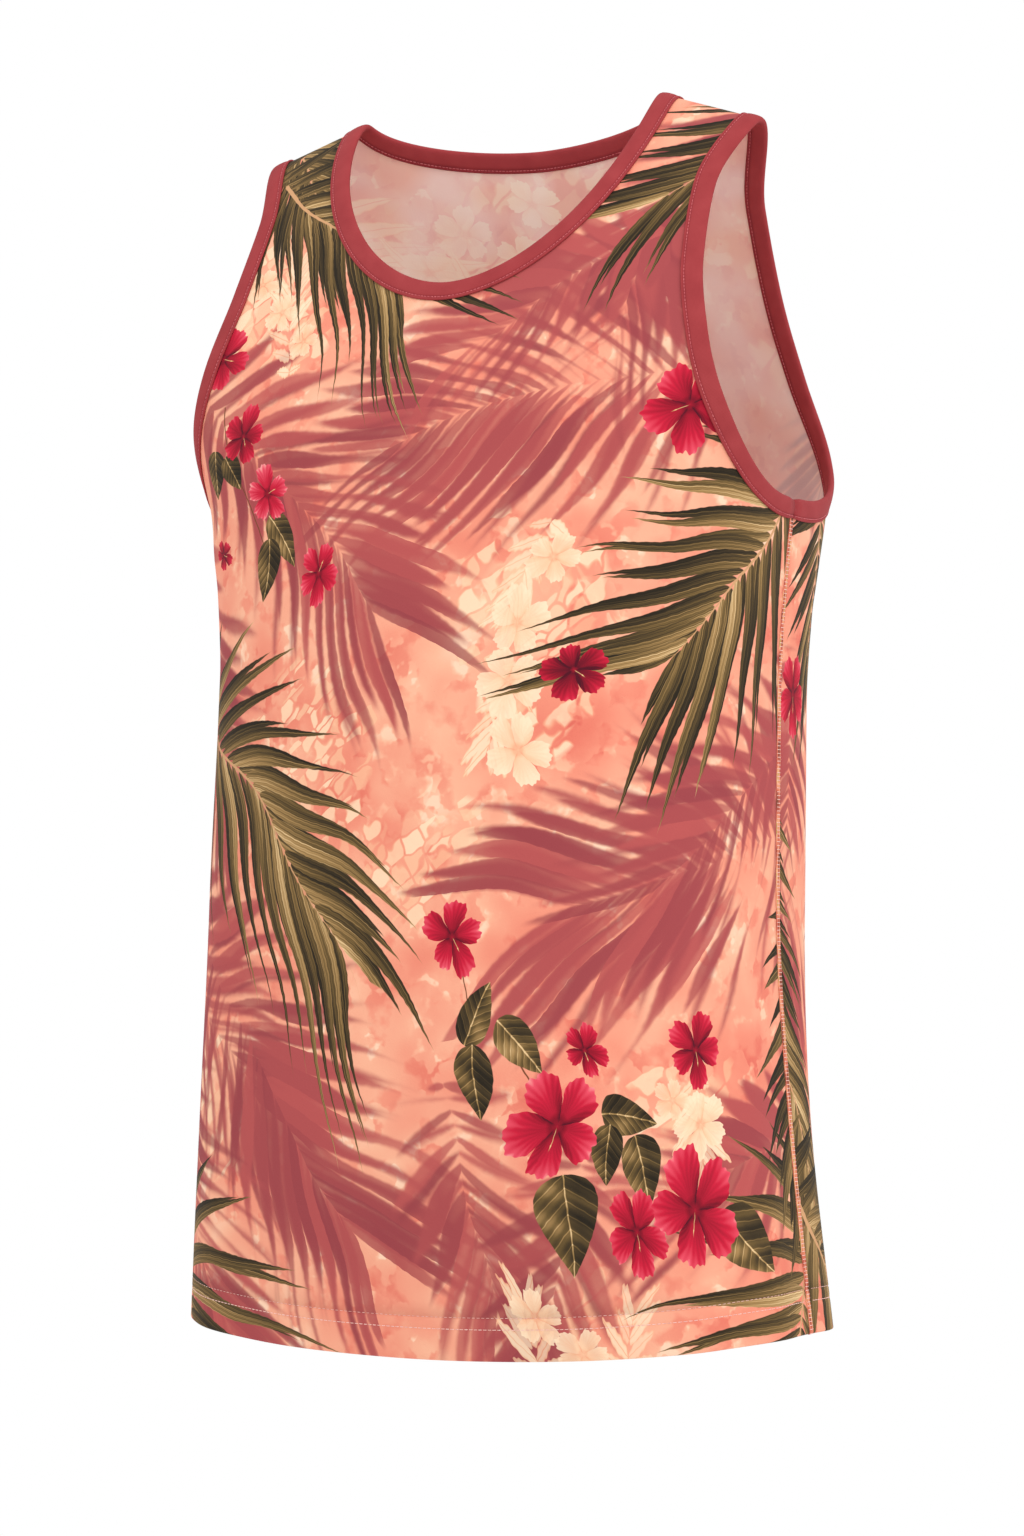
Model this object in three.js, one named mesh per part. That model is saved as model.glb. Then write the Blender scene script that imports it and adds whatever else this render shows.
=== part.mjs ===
// A man's tank top, hollow as if worn. Two cloth panels meet at the side and shoulder seams.
// A folded binding clasps the neck edge and each armhole edge, and the hem is turned up inside.
// Millimetres, +Z up, the front faces -Y and the wearer's left side is +X. The origin lies
// midway between the two neck points, where the shoulders carry the straps.
import * as THREE from "three";

// ---- Cloth, seams and edges ----
const CLOTH = 1.0; // thickness of the jersey, and of each layer of a binding
const SEAM_GAP = 0.3; // between pieces that are sewn together
const BINDING_WIDTH = 12;
const EDGE_INSIDE_BINDING = 1.5; // a panel's raw edge, below the free edge of its binding
const PANEL_BORDER = 12.5; // the first row of a panel that its binding leaves uncovered
const HEM_DEPTH = 24;
const HEM_THICKNESS = 2.2;
const HEM_STEP = 1; // height over which the hem's upper edge thins to one layer

// ---- The cut ----
const LENGTH = 700; // neck point to hem at the middle
const HEM_SIDE_RISE = 14;
const NECK_HALF_WIDTH = 93.5;
const SHOULDER_TIP = 155.5; // half of the distance between the shoulder tips
const SHOULDER_SLOPE = Math.tan(THREE.MathUtils.degToRad(18.3));
const SHOULDER_CURVE_HEIGHT = 198; // the panels bend over the shoulder within this height
const SHOULDER_ROUNDNESS = 1.11;
const ARMHOLE_DROP = 231;
const NECK = {
  front: { drop: 111, squareness: 1.86 },
  back: { drop: 18, squareness: 1.7 },
};
// Each armhole edge from the shoulder tip to the side seam, at shares of the armhole's height.
const ARMHOLE = [
  { share: 0, front: SHOULDER_TIP, back: SHOULDER_TIP },
  { share: 0.2, front: 144, back: 138 },
  { share: 0.4, front: 147, back: 135.5 },
  { share: 0.62, front: 157, back: 140 },
  { share: 0.84, front: 167.5, back: 154 },
];
// Level sections of the worn form. middle is the y of the side seams.
const SECTIONS = [
  { drop: 0, halfWidth: 181, front: 62, back: 71, middle: 0, squareness: 2.8 },
  { drop: 55, halfWidth: 192, front: 81, back: 93, middle: -3, squareness: 3.8 },
  { drop: 120, halfWidth: 199, front: 96, back: 113, middle: -3.5, squareness: 4.7 },
  { drop: 235, halfWidth: 171.5, front: 120, back: 137, middle: 0.5, squareness: 2.85 },
  { drop: 340, halfWidth: 165, front: 129, back: 137, middle: -4, squareness: 2.5 },
  { drop: 450, halfWidth: 166.5, front: 127, back: 125, middle: -8, squareness: 2.6 },
  { drop: 570, halfWidth: 176, front: 121, back: 107, middle: -12, squareness: 2.45 },
  { drop: LENGTH, halfWidth: 189.5, front: 95, back: 97, middle: -10, squareness: 2.75 },
];
// Soft folds that run down the cloth. angle goes round from the middle of the front (0) by the
// wearer's left side (90) to the back (180); drift is how far it turns on the way down.
const FOLDS = [
  { angle: 62, drift: -10, from: 250, to: 640, spread: 9, depth: 3.0 },
  { angle: 84, drift: 4, from: 330, to: 700, spread: 6, depth: -2.2 },
  { angle: -58, drift: 8, from: 270, to: 690, spread: 10, depth: 2.6 },
  { angle: -78, drift: 2, from: 300, to: 700, spread: 6, depth: -2.4 },
  { angle: 24, drift: 10, from: 470, to: 700, spread: 11, depth: 2.2 },
  { angle: -20, drift: -8, from: 500, to: 700, spread: 12, depth: 2.0 },
  { angle: 132, drift: -6, from: 240, to: 700, spread: 10, depth: 3.2 },
  { angle: 168, drift: 6, from: 330, to: 700, spread: 9, depth: -2.6 },
  { angle: -140, drift: 10, from: 260, to: 680, spread: 11, depth: 3.0 },
  { angle: -112, drift: -4, from: 320, to: 700, spread: 7, depth: -2.0 },
];
const FOLD_RADIUS = 150; // the mean radius of the sections

// ---- How finely the cloth is divided ----
const STRAP_COLUMNS = 7; // across a strap, and from there down to the hem
const BODY_ROWS = 21;
const TURN_WEIGHT = 38; // a turn of one radian gets as many stations as this length
// A strap starts at these shares of the neck's and the armhole's edges, counted from the middle
// and from the side seam. Columns are those that end below it, rows those along it.
const DIVISIONS = {
  front: { neckCorner: 0.46, neckColumns: 6, armholeCorner: 0.22, underarmColumns: 5, strapRows: 15 },
  back: { neckCorner: 0.45, neckColumns: 5, armholeCorner: 0.52, underarmColumns: 9, strapRows: 10 },
};

const FRONT = -1;
const BACK = 1;
const QUARTER = Math.PI / 2;
const sideName = (side) => (side === FRONT ? "front" : "back");

// A smooth curve through rows of a table that never overshoots them.
function smoothTable(rows, xName, yName) {
  const x = rows.map((row) => row[xName]);
  const y = rows.map((row) => row[yName]);
  const rise = x.slice(1).map((next, i) => (y[i + 1] - y[i]) / (next - x[i]));
  const slope = x.map((_, i) => {
    if (i === 0) return rise[0];
    if (i === x.length - 1) return rise[i - 1];
    if (rise[i - 1] * rise[i] <= 0) return 0;
    return (2 * rise[i - 1] * rise[i]) / (rise[i - 1] + rise[i]);
  });
  return (at) => {
    const here = THREE.MathUtils.clamp(at, x[0], x[x.length - 1]);
    let i = 0;
    while (i < x.length - 2 && here > x[i + 1]) i++;
    const span = x[i + 1] - x[i];
    const t = (here - x[i]) / span;
    const start = y[i] * (1 + 2 * t) * (1 - t) ** 2 + slope[i] * span * t * (1 - t) ** 2;
    const end = y[i + 1] * t * t * (3 - 2 * t) + slope[i + 1] * span * t * t * (t - 1);
    return start + end;
  };
}

const section = {};
for (const name of ["halfWidth", "front", "back", "middle", "squareness"]) {
  section[name] = smoothTable(SECTIONS, "drop", name);
}

// How far the shoulder ridge lies below the neck points, at x. Over the open neck it rounds off.
function ridgeDrop(x) {
  const share = Math.abs(x) / NECK_HALF_WIDTH;
  const fall = share < 1 ? (share * share - 1) / 2 : share - 1;
  return fall * NECK_HALF_WIDTH * SHOULDER_SLOPE;
}

// How far the folds push the cloth out at an angle round the body and a drop.
function foldDepth(angle, drop) {
  let depth = 0;
  for (const fold of FOLDS) {
    const share = (drop - fold.from) / (fold.to - fold.from);
    if (share <= 0) continue;
    const fade = THREE.MathUtils.smoothstep(share, 0, 0.5);
    const turned = angle - fold.angle - fold.drift * share;
    const away = (THREE.MathUtils.euclideanModulo(turned + 180, 360) - 180) / fold.spread;
    depth += fold.depth * fade * Math.exp(-away * away);
  }
  return depth;
}

// A point of the cloth's outer face. around is 0 at the middle and a quarter turn at the side
// seam; down is 0 on the shoulder ridge, and the drop grows with its square.
function formPoint(side, around, down) {
  let x = 0;
  let drop = 0;
  for (let pass = 0; pass < 12; pass++) {
    x = section.halfWidth(drop) * Math.sin(around);
    drop = ridgeDrop(x) + SHOULDER_CURVE_HEIGHT * down * down;
  }
  const squareness = section.squareness(drop);
  const reach = Math.min(1, Math.abs(Math.sin(around)));
  const crown = (1 - reach ** squareness) ** (1 / squareness);
  const bend = Math.sqrt(1 - Math.max(0, 1 - down * down) ** SHOULDER_ROUNDNESS);
  const depth = SEAM_GAP / 2 + section[sideName(side)](drop) * crown * bend;
  const degrees = THREE.MathUtils.radToDeg(around);
  const push = 1 + foldDepth(side === FRONT ? degrees : 180 - degrees, drop) / FOLD_RADIUS;
  return new THREE.Vector3(x * push, section.middle(drop) + side * depth * push, -drop);
}

// The rates of change of the form along its two directions.
function formSlopes(side, around, down) {
  const step = 1e-3;
  const left = Math.max(-QUARTER, around - step);
  const right = Math.min(QUARTER, around + step);
  const above = Math.max(0, down - step);
  const below = down + step;
  const across = formPoint(side, right, down).sub(formPoint(side, left, down));
  const along = formPoint(side, around, below).sub(formPoint(side, around, above));
  return { across: across.divideScalar(right - left), along: along.divideScalar(below - above) };
}

// The outward direction of the cloth. On the seams it lies in the plane of the seam.
function formNormal(side, around, down) {
  const { across, along } = formSlopes(side, around, down);
  const normal = along.clone().cross(across).multiplyScalar(-side);
  if (QUARTER - Math.abs(around) < 1e-6) normal.set(Math.sign(around), 0, 0);
  if (down < 1e-6) normal.set(Math.sign(around) * SHOULDER_SLOPE, 0, 1);
  return normal.normalize();
}

// From x and drop to the form's own two directions.
function formPlace(x, drop) {
  const around = Math.asin(Math.min(1, x / section.halfWidth(drop)));
  const down = Math.sqrt(Math.max(0, (drop - ridgeDrop(x)) / SHOULDER_CURVE_HEIGHT));
  return { around, down };
}

// The neck's free edge on the wearer's left half, from the middle (0) to the neck point (1).
function neckEdge(side, share) {
  const { drop, squareness } = NECK[sideName(side)];
  const power = 2 / squareness;
  if (share >= 1) return formPlace(NECK_HALF_WIDTH, 0);
  const turn = share * QUARTER;
  return formPlace(NECK_HALF_WIDTH * Math.sin(turn) ** power, drop * Math.cos(turn) ** power);
}

// The armhole's free edge, from the side seam (0) to the shoulder tip (1).
const tipDrop = ridgeDrop(SHOULDER_TIP);
const armholeRows = [
  ...ARMHOLE,
  { share: 1, front: section.halfWidth(ARMHOLE_DROP), back: section.halfWidth(ARMHOLE_DROP) },
].map((row, step) => ({ ...row, step: step / ARMHOLE.length }));
const armholeX = {
  front: smoothTable(armholeRows, "step", "front"),
  back: smoothTable(armholeRows, "step", "back"),
};
const armholeShare = smoothTable(armholeRows, "step", "share");
function armholeEdge(side, share) {
  if (share <= 0) return formPlace(section.halfWidth(ARMHOLE_DROP), ARMHOLE_DROP);
  const drop = tipDrop + (ARMHOLE_DROP - tipDrop) * armholeShare(1 - share);
  return formPlace(armholeX[sideName(side)](1 - share), drop);
}

// Stations along an edge between two shares of it, closer together where it turns.
function stations(side, edge, from, to, count) {
  const fine = 240;
  const places = [];
  const points = [];
  for (let i = 0; i <= fine; i++) {
    places.push(edge(side, from + ((to - from) * i) / fine));
    points.push(formPoint(side, places[i].around, places[i].down));
  }
  const measure = [0];
  for (let i = 1; i <= fine; i++) {
    const step = points[i].clone().sub(points[i - 1]);
    const before = i > 1 ? points[i - 1].clone().sub(points[i - 2]) : step;
    const turn = step.length() > 1e-6 && before.length() > 1e-6 ? step.angleTo(before) : 0;
    measure.push(measure[i - 1] + step.length() + TURN_WEIGHT * turn);
  }
  const chosen = [];
  for (let k = 0; k <= count; k++) {
    const goal = (measure[fine] * k) / count;
    let i = 1;
    while (i < fine && measure[i] < goal) i++;
    const t = (goal - measure[i - 1]) / (measure[i] - measure[i - 1]);
    chosen.push({
      around: THREE.MathUtils.lerp(places[i - 1].around, places[i].around, t),
      down: THREE.MathUtils.lerp(places[i - 1].down, places[i].down, t),
    });
  }
  chosen[0] = places[0];
  chosen[count] = places[fine];
  return chosen;
}

// The place that lies a distance into the cloth from a station, square to the edge. On the
// middle line, a side seam or the ridge it stays on that line.
function inset(side, edge, k, distance) {
  const pointAt = (place) => formPoint(side, place.around, place.down);
  const { around, down } = edge[k];
  const along = pointAt(edge[Math.min(k + 1, edge.length - 1)]).sub(pointAt(edge[Math.max(k - 1, 0)]));
  const into = formNormal(side, around, down).cross(along).normalize();
  if (into.dot(intoCloth(side, edge, k)) < 0) into.negate();
  const goal = pointAt(edge[k]).addScaledVector(into, distance);
  const onRidge = down < 1e-6;
  const onLine = Math.abs(around) < 1e-6 || QUARTER - Math.abs(around) < 1e-6;
  const place = { around, down };
  for (let pass = 0; pass < 8; pass++) {
    const slopes = formSlopes(side, place.around, place.down);
    const miss = goal.clone().sub(pointAt(place));
    const a = slopes.across;
    const b = slopes.along;
    if (onRidge) {
      place.around += miss.dot(a) / a.lengthSq();
    } else if (onLine) {
      place.down += miss.dot(b) / b.lengthSq();
    } else {
      const mixed = a.dot(b);
      const size = a.lengthSq() * b.lengthSq() - mixed * mixed;
      place.around += (miss.dot(a) * b.lengthSq() - miss.dot(b) * mixed) / size;
      place.down += (miss.dot(b) * a.lengthSq() - miss.dot(a) * mixed) / size;
    }
    place.around = THREE.MathUtils.clamp(place.around, 0, QUARTER);
    place.down = Math.max(0, place.down);
  }
  return place;
}

// Roughly the way from an edge into the cloth: from the neck outwards and down, from the
// armhole inwards and down.
function intoCloth(side, edge, k) {
  const { across, along } = formSlopes(side, edge[k].around, edge[k].down);
  const outwards = edge.opening === "neck" ? 1 : -1;
  return along.normalize().addScaledVector(across.normalize(), outwards);
}

// The neck and armhole edges of one panel's left half, with the corner where they part.
function panelEdges(side) {
  const { neckCorner, neckColumns, armholeCorner, underarmColumns, strapRows } = DIVISIONS[sideName(side)];
  const joined = (edge, corner, columns) => [
    ...stations(side, edge, 0, corner, columns),
    ...stations(side, edge, corner, 1, strapRows).slice(1),
  ];
  const neck = joined(neckEdge, neckCorner, neckColumns);
  neck.opening = "neck";
  const armhole = joined(armholeEdge, armholeCorner, underarmColumns);
  armhole.opening = "armhole";
  return { neck, armhole };
}

const mixPlace = (a, b, t) => ({
  around: THREE.MathUtils.lerp(a.around, b.around, t),
  down: THREE.MathUtils.lerp(a.down, b.down, t),
});

// A net of places between four edges, given as lists. It bends with all four of them.
function netBetween(top, bottom, left, right) {
  const rows = left.length - 1;
  const columns = top.length - 1;
  return left.map((leftPlace, i) =>
    top.map((topPlace, j) => {
      const v = i / rows;
      const u = j / columns;
      const upDown = mixPlace(topPlace, bottom[j], v);
      const leftRight = mixPlace(leftPlace, right[i], u);
      const corners = mixPlace(mixPlace(top[0], top[columns], u), mixPlace(bottom[0], bottom[columns], u), v);
      return {
        around: upDown.around + leftRight.around - corners.around,
        down: upDown.down + leftRight.down - corners.down,
      };
    }),
  );
}

const lineOfPlaces = (from, to, count) =>
  Array.from({ length: count + 1 }, (_, i) => mixPlace(from, to, i / count));

// The place on a level of the hem, rise above the hem's edge.
function hemPlace(around, rise) {
  const drop = LENGTH - HEM_SIDE_RISE * Math.sin(around) ** 2 - rise;
  const x = section.halfWidth(drop) * Math.sin(around);
  return { around, down: Math.sqrt((drop - ridgeDrop(x)) / SHOULDER_CURVE_HEIGHT) };
}

// One panel: a strap net, a body net, borders inside the bindings, and the turned hem.
function panel(side) {
  const { neck, armhole } = panelEdges(side);
  const { neckColumns, underarmColumns, strapRows } = DIVISIONS[sideName(side)];
  const border = (edge, distance) => edge.map((_, k) => inset(side, edge, k, distance));
  const neckBorder = border(neck, PANEL_BORDER);
  const armholeBorder = border(armhole, PANEL_BORDER);
  const neckSide = neckBorder.slice(neckColumns);
  const armholeSide = armholeBorder.slice(underarmColumns);
  const split = lineOfPlaces(neckSide[0], armholeSide[0], STRAP_COLUMNS);
  const ridge = lineOfPlaces(neckSide[strapRows], armholeSide[strapRows], STRAP_COLUMNS);
  const strap = netBetween(split, ridge, neckSide, armholeSide);

  const underarm = armholeBorder.slice(0, underarmColumns).reverse();
  const bodyTop = [...neckBorder.slice(0, neckColumns), ...split, ...underarm];
  const columns = bodyTop.length - 1;
  const hemRow = (rise) => bodyTop.map((_, j) => hemPlace((QUARTER * j) / columns, rise));
  const foldLine = hemRow(HEM_DEPTH + HEM_STEP);
  const middle = lineOfPlaces(bodyTop[0], foldLine[0], BODY_ROWS);
  const sideSeam = lineOfPlaces(bodyTop[columns], foldLine[columns], BODY_ROWS);
  const body = netBetween(bodyTop, foldLine, middle, sideSeam);
  const hem = [foldLine, hemRow(HEM_DEPTH), hemRow(0)];

  const neckStrip = [border(neck, EDGE_INSIDE_BINDING), neckBorder];
  const armholeStrip = [border(armhole, EDGE_INSIDE_BINDING), armholeBorder];
  const solid = clothSolid(side);
  for (const mirrored of [1, -1]) {
    for (const net of [strap, body, neckStrip, armholeStrip]) solid.addNet(net, mirrored, CLOTH, CLOTH);
    solid.addNet(hem.slice(0, 2), mirrored, CLOTH, HEM_THICKNESS);
    solid.addNet(hem.slice(1), mirrored, HEM_THICKNESS, HEM_THICKNESS);
  }
  return solid.geometry();
}

// Collects nets of places and gives them a second face inside, closed all round the rim.
function clothSolid(side) {
  const index = new Map();
  const outer = [];
  const inner = [];
  const normals = [];
  const faces = [];
  const add = (place, mirrored, thickness) => {
    const around = place.around * mirrored;
    const key = `${around.toFixed(6)} ${place.down.toFixed(6)}`.replace("-0.000000", "0.000000");
    if (!index.has(key)) {
      const point = formPoint(side, around, place.down);
      const normal = formNormal(side, around, place.down);
      index.set(key, outer.length);
      outer.push(point);
      normals.push(normal);
      inner.push(point.clone().addScaledVector(normal, -thickness));
    }
    return index.get(key);
  };
  const addNet = (net, mirrored, firstThickness, lastThickness) => {
    const ids = net.map((row, i) =>
      row.map((place) => add(place, mirrored, i === 0 ? firstThickness : lastThickness)),
    );
    for (let i = 0; i + 1 < ids.length; i++) {
      for (let j = 0; j + 1 < ids[i].length; j++) {
        const quad = [ids[i][j], ids[i + 1][j], ids[i + 1][j + 1], ids[i][j + 1]];
        const diagonal = outer[quad[2]].clone().sub(outer[quad[0]]);
        const other = outer[quad[3]].clone().sub(outer[quad[1]]);
        if (diagonal.cross(other).dot(normals[quad[0]]) < 0) quad.reverse();
        faces.push(...splitQuad(outer, quad));
      }
    }
  };
  const geometry = () => {
    const shift = outer.length;
    const edges = new Set();
    const triangles = [];
    for (const [a, b, c] of faces) {
      triangles.push(a, b, c, a + shift, c + shift, b + shift);
      for (const [from, to] of [[a, b], [b, c], [c, a]]) edges.add(`${from} ${to}`);
    }
    for (const edge of edges) {
      const [from, to] = edge.split(" ").map(Number);
      if (!edges.has(`${to} ${from}`)) {
        triangles.push(to, from, from + shift, to, from + shift, to + shift);
      }
    }
    return meshOf([...outer, ...inner], triangles);
  };
  return { addNet, geometry };
}

// Two triangles of a four-sided face, parted along its shorter diagonal, so that cloth and the
// binding on it bend alike.
function splitQuad(points, [a, b, c, d]) {
  const shorter = points[a].distanceTo(points[c]) <= points[b].distanceTo(points[d]);
  return shorter ? [[a, b, c], [a, c, d]] : [[a, b, d], [b, c, d]];
}

// A closed mesh. Its faces are turned round if they enclose a negative volume.
function meshOf(points, triangles) {
  let volume = 0;
  for (let i = 0; i < triangles.length; i += 3) {
    const [a, b, c] = [0, 1, 2].map((k) => points[triangles[i + k]]);
    volume += a.dot(b.clone().cross(c));
  }
  if (volume < 0) triangles.reverse();
  const geometry = new THREE.BufferGeometry().setFromPoints(points);
  geometry.setIndex(triangles);
  geometry.computeVertexNormals();
  return geometry;
}

// ---- The bindings ----
// The section of a folded binding: in is the distance from its free edge, out the height over
// the panel's outer face. The slot between its two layers holds the panel's raw edge.
const FOLD_ROUND = 1;
const SLOT_FLOOR = EDGE_INSIDE_BINDING - SEAM_GAP;
const BINDING_SECTION = [
  { in: BINDING_WIDTH, out: SEAM_GAP },
  { in: BINDING_WIDTH, out: SEAM_GAP + CLOTH },
  { in: FOLD_ROUND, out: SEAM_GAP + CLOTH },
  { in: 0, out: SEAM_GAP },
  { in: 0, out: -CLOTH - SEAM_GAP },
  { in: FOLD_ROUND, out: -2 * CLOTH - SEAM_GAP },
  { in: BINDING_WIDTH, out: -2 * CLOTH - SEAM_GAP },
  { in: BINDING_WIDTH, out: -CLOTH - SEAM_GAP },
  { in: SLOT_FLOOR, out: -CLOTH - SEAM_GAP },
  { in: SLOT_FLOOR, out: SEAM_GAP },
];

// The cloth that a binding follows at one station: its free edge, the panel's raw edge and the
// sewn edge, each with its distance in from the free edge, its point and its normal.
function bindingStation(side, edge, k, mirrored) {
  return [0, EDGE_INSIDE_BINDING, BINDING_WIDTH].map((distance) => {
    const { around, down } = distance ? inset(side, edge, k, distance) : edge[k];
    return {
      distance,
      point: formPoint(side, around * mirrored, down),
      normal: formNormal(side, around * mirrored, down),
    };
  });
}

// Where the binding crosses from one panel to the other, it runs midway between them.
const meanStation = (one, other) =>
  one.map(({ distance, point, normal }, i) => ({
    distance,
    point: point.clone().lerp(other[i].point, 0.5),
    normal: normal.clone().add(other[i].normal).normalize(),
  }));

// The point of a binding's section at a station.
function sectionPoint(station, corner) {
  const i = corner.in > station[1].distance ? 1 : 0;
  const [from, to] = [station[i], station[i + 1]];
  const share = (corner.in - from.distance) / (to.distance - from.distance);
  const normal = from.normal.clone().lerp(to.normal, share).normalize();
  return from.point.clone().lerp(to.point, share).addScaledVector(normal, corner.out);
}

// Joins runs of stations end to end. Each run's last station and the next run's first are one.
function joinRuns(runs) {
  const joined = [...runs[0]];
  for (const run of runs.slice(1)) {
    joined.push(meanStation(joined.pop(), run[0]), ...run.slice(1));
  }
  return joined;
}

// A strip round an opening. Its two ends meet at a sewn join, a seam's gap apart.
function bindingSolid(strip) {
  const last = strip.length - 1;
  const joinDirection = strip[1][0].point.clone().sub(strip[last - 1][0].point).normalize();
  const points = [];
  const ring = BINDING_SECTION.length;
  strip.forEach((station, k) => {
    const gap = k === 0 ? SEAM_GAP / 2 : k === last ? -SEAM_GAP / 2 : 0;
    for (const corner of BINDING_SECTION) {
      points.push(sectionPoint(station, corner).addScaledVector(joinDirection, gap));
    }
  });
  const triangles = [];
  for (let k = 0; k < last; k++) {
    for (let i = 0; i < ring; i++) {
      const next = (i + 1) % ring;
      const [a, b] = [k * ring + i, k * ring + next];
      triangles.push(...splitQuad(points, [a, b, b + ring, a + ring]).flat());
    }
  }
  const outline = BINDING_SECTION.map((corner) => new THREE.Vector2(corner.in, corner.out));
  for (const [a, b, c] of THREE.ShapeUtils.triangulateShape(outline, [])) {
    triangles.push(a, c, b, a + last * ring, b + last * ring, c + last * ring);
  }
  return meshOf(points, triangles);
}

const leftStations = (side, opening, mirrored) => {
  const edge = panelEdges(side)[opening];
  return edge.map((_, k) => bindingStation(side, edge, k, mirrored));
};

// The neck binding starts and ends at the wearer's left shoulder seam.
function neckBinding() {
  const runs = [
    leftStations(FRONT, "neck", 1).reverse(),
    leftStations(FRONT, "neck", -1),
    leftStations(BACK, "neck", -1).reverse(),
    leftStations(BACK, "neck", 1),
  ];
  const strip = joinRuns(runs);
  const seamStation = meanStation(strip[0], strip[strip.length - 1]);
  return bindingSolid([seamStation, ...strip.slice(1, -1), seamStation]);
}

// Each armhole binding starts and ends at the side seam.
function armholeBinding(mirrored) {
  const strip = joinRuns([
    leftStations(FRONT, "armhole", mirrored),
    leftStations(BACK, "armhole", mirrored).reverse(),
  ]);
  const seamStation = meanStation(strip[0], strip[strip.length - 1]);
  return bindingSolid([seamStation, ...strip.slice(1, -1), seamStation]);
}

// ---- The garment ----
const printedJersey = new THREE.MeshStandardMaterial({ color: 0xe08a70, roughness: 0.85, metalness: 0 });
const bindingJersey = new THREE.MeshStandardMaterial({ color: 0xb03e46, roughness: 0.8, metalness: 0 });

const tankTop = new THREE.Group();
function piece(name, geometry, material) {
  const mesh = new THREE.Mesh(geometry, material);
  mesh.name = name;
  tankTop.add(mesh);
}
piece("front", panel(FRONT), printedJersey);
piece("back", panel(BACK), printedJersey);
piece("neck_binding", neckBinding(), bindingJersey);
piece("armhole_binding_left", armholeBinding(1), bindingJersey);
piece("armhole_binding_right", armholeBinding(-1), bindingJersey);

export default tankTop;
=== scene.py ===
import math
from types import SimpleNamespace

import bmesh
import bpy
import numpy as np
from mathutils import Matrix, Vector


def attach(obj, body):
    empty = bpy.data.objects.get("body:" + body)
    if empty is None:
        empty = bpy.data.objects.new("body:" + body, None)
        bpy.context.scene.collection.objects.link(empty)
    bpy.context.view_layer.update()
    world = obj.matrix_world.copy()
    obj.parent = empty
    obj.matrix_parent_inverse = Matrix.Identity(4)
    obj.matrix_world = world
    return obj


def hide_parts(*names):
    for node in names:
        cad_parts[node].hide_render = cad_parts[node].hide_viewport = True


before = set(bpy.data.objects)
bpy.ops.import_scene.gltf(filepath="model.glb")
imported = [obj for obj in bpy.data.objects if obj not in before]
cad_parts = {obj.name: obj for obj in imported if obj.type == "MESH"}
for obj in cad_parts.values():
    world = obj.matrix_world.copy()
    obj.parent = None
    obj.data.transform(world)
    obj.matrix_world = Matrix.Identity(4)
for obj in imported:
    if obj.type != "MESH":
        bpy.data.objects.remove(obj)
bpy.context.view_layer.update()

# ---- The worn form ---------------------------------------
# The cloth hangs as if worn, so both panels, the seams and the bindings follow one hollow form.
# It is worked out here from level sections, in millimetres down from the neck points, and every
# piece below places its mesh on it.
MM = 0.001
FRONT = -1
BACK = 1
QUARTER = math.pi / 2
SEAM_GAP = 0.3
LENGTH = 700
NECK_HALF_WIDTH = 93.5
SHOULDER_TIP = 155.5
SHOULDER_SLOPE = math.tan(math.radians(18.3))
SHOULDER_CURVE_HEIGHT = 198
SHOULDER_ROUNDNESS = 1.11
SECTIONS = {
    "drop": (0, 55, 120, 235, 340, 450, 570, LENGTH),
    "half_width": (181, 192, 199, 171.5, 165, 166.5, 176, 189.5),
    FRONT: (62, 81, 96, 120, 129, 127, 121, 95),
    BACK: (71, 93, 113, 137, 137, 125, 107, 97),
    "middle": (0, -3, -3.5, 0.5, -4, -8, -12, -10),
    "squareness": (2.8, 3.8, 4.7, 2.85, 2.5, 2.6, 2.45, 2.75),
}
# Soft folds down the cloth. The angle goes round from the middle of the front by the wearer's
# left side to the back; the drift is how far a fold turns on its way down.
FOLDS = (
    # angle, drift, from, to, spread, depth
    (62, -10, 250, 640, 9, 3.0), (84, 4, 330, 700, 6, -2.2), (-58, 8, 270, 690, 10, 2.6),
    (-78, 2, 300, 700, 6, -2.4), (24, 10, 470, 700, 11, 2.2), (-20, -8, 500, 700, 12, 2.0),
    (132, -6, 240, 700, 10, 3.2), (168, 6, 330, 700, 9, -2.6), (-140, 10, 260, 680, 11, 3.0),
    (-112, -4, 320, 700, 7, -2.0),
)
FOLD_RADIUS = 150
# The width and the drop depend on each other, so they are settled in rounds. Places nearer than
# this to a seam count as on it.
SETTLING_ROUNDS = 12
NEAR = 1e-6


def smooth_table(at, values):
    """A smooth curve through a table's points that never overshoots them."""
    at = np.array(at, float)
    values = np.array(values, float)
    span = np.diff(at)
    rise = np.diff(values) / span
    slope = np.concatenate([rise[:1], np.zeros(len(rise) - 1), rise[-1:]])
    product = rise[:-1] * rise[1:]
    total = np.where(product > 0, rise[:-1] + rise[1:], 1)
    slope[1:-1] = np.where(product > 0, 2 * product / total, 0)

    def curve(x):
        x = np.clip(x, at[0], at[-1])
        i = np.clip(np.searchsorted(at, x, side="left") - 1, 0, len(at) - 2)
        t = (x - at[i]) / span[i]
        start = values[i] * (1 + 2 * t) * (1 - t) ** 2 + slope[i] * span[i] * t * (1 - t) ** 2
        end = values[i + 1] * t * t * (3 - 2 * t) + slope[i + 1] * span[i] * t * t * (t - 1)
        return start + end

    return curve


section = {
    name: smooth_table(SECTIONS["drop"], SECTIONS[name])
    for name in SECTIONS if name != "drop"
}


def ridge_drop(x):
    """How far the shoulder ridge lies below the neck points. Over the open neck it rounds off."""
    share = np.abs(x) / NECK_HALF_WIDTH
    fall = np.where(share < 1, (share * share - 1) / 2, share - 1)
    return fall * NECK_HALF_WIDTH * SHOULDER_SLOPE


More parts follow.
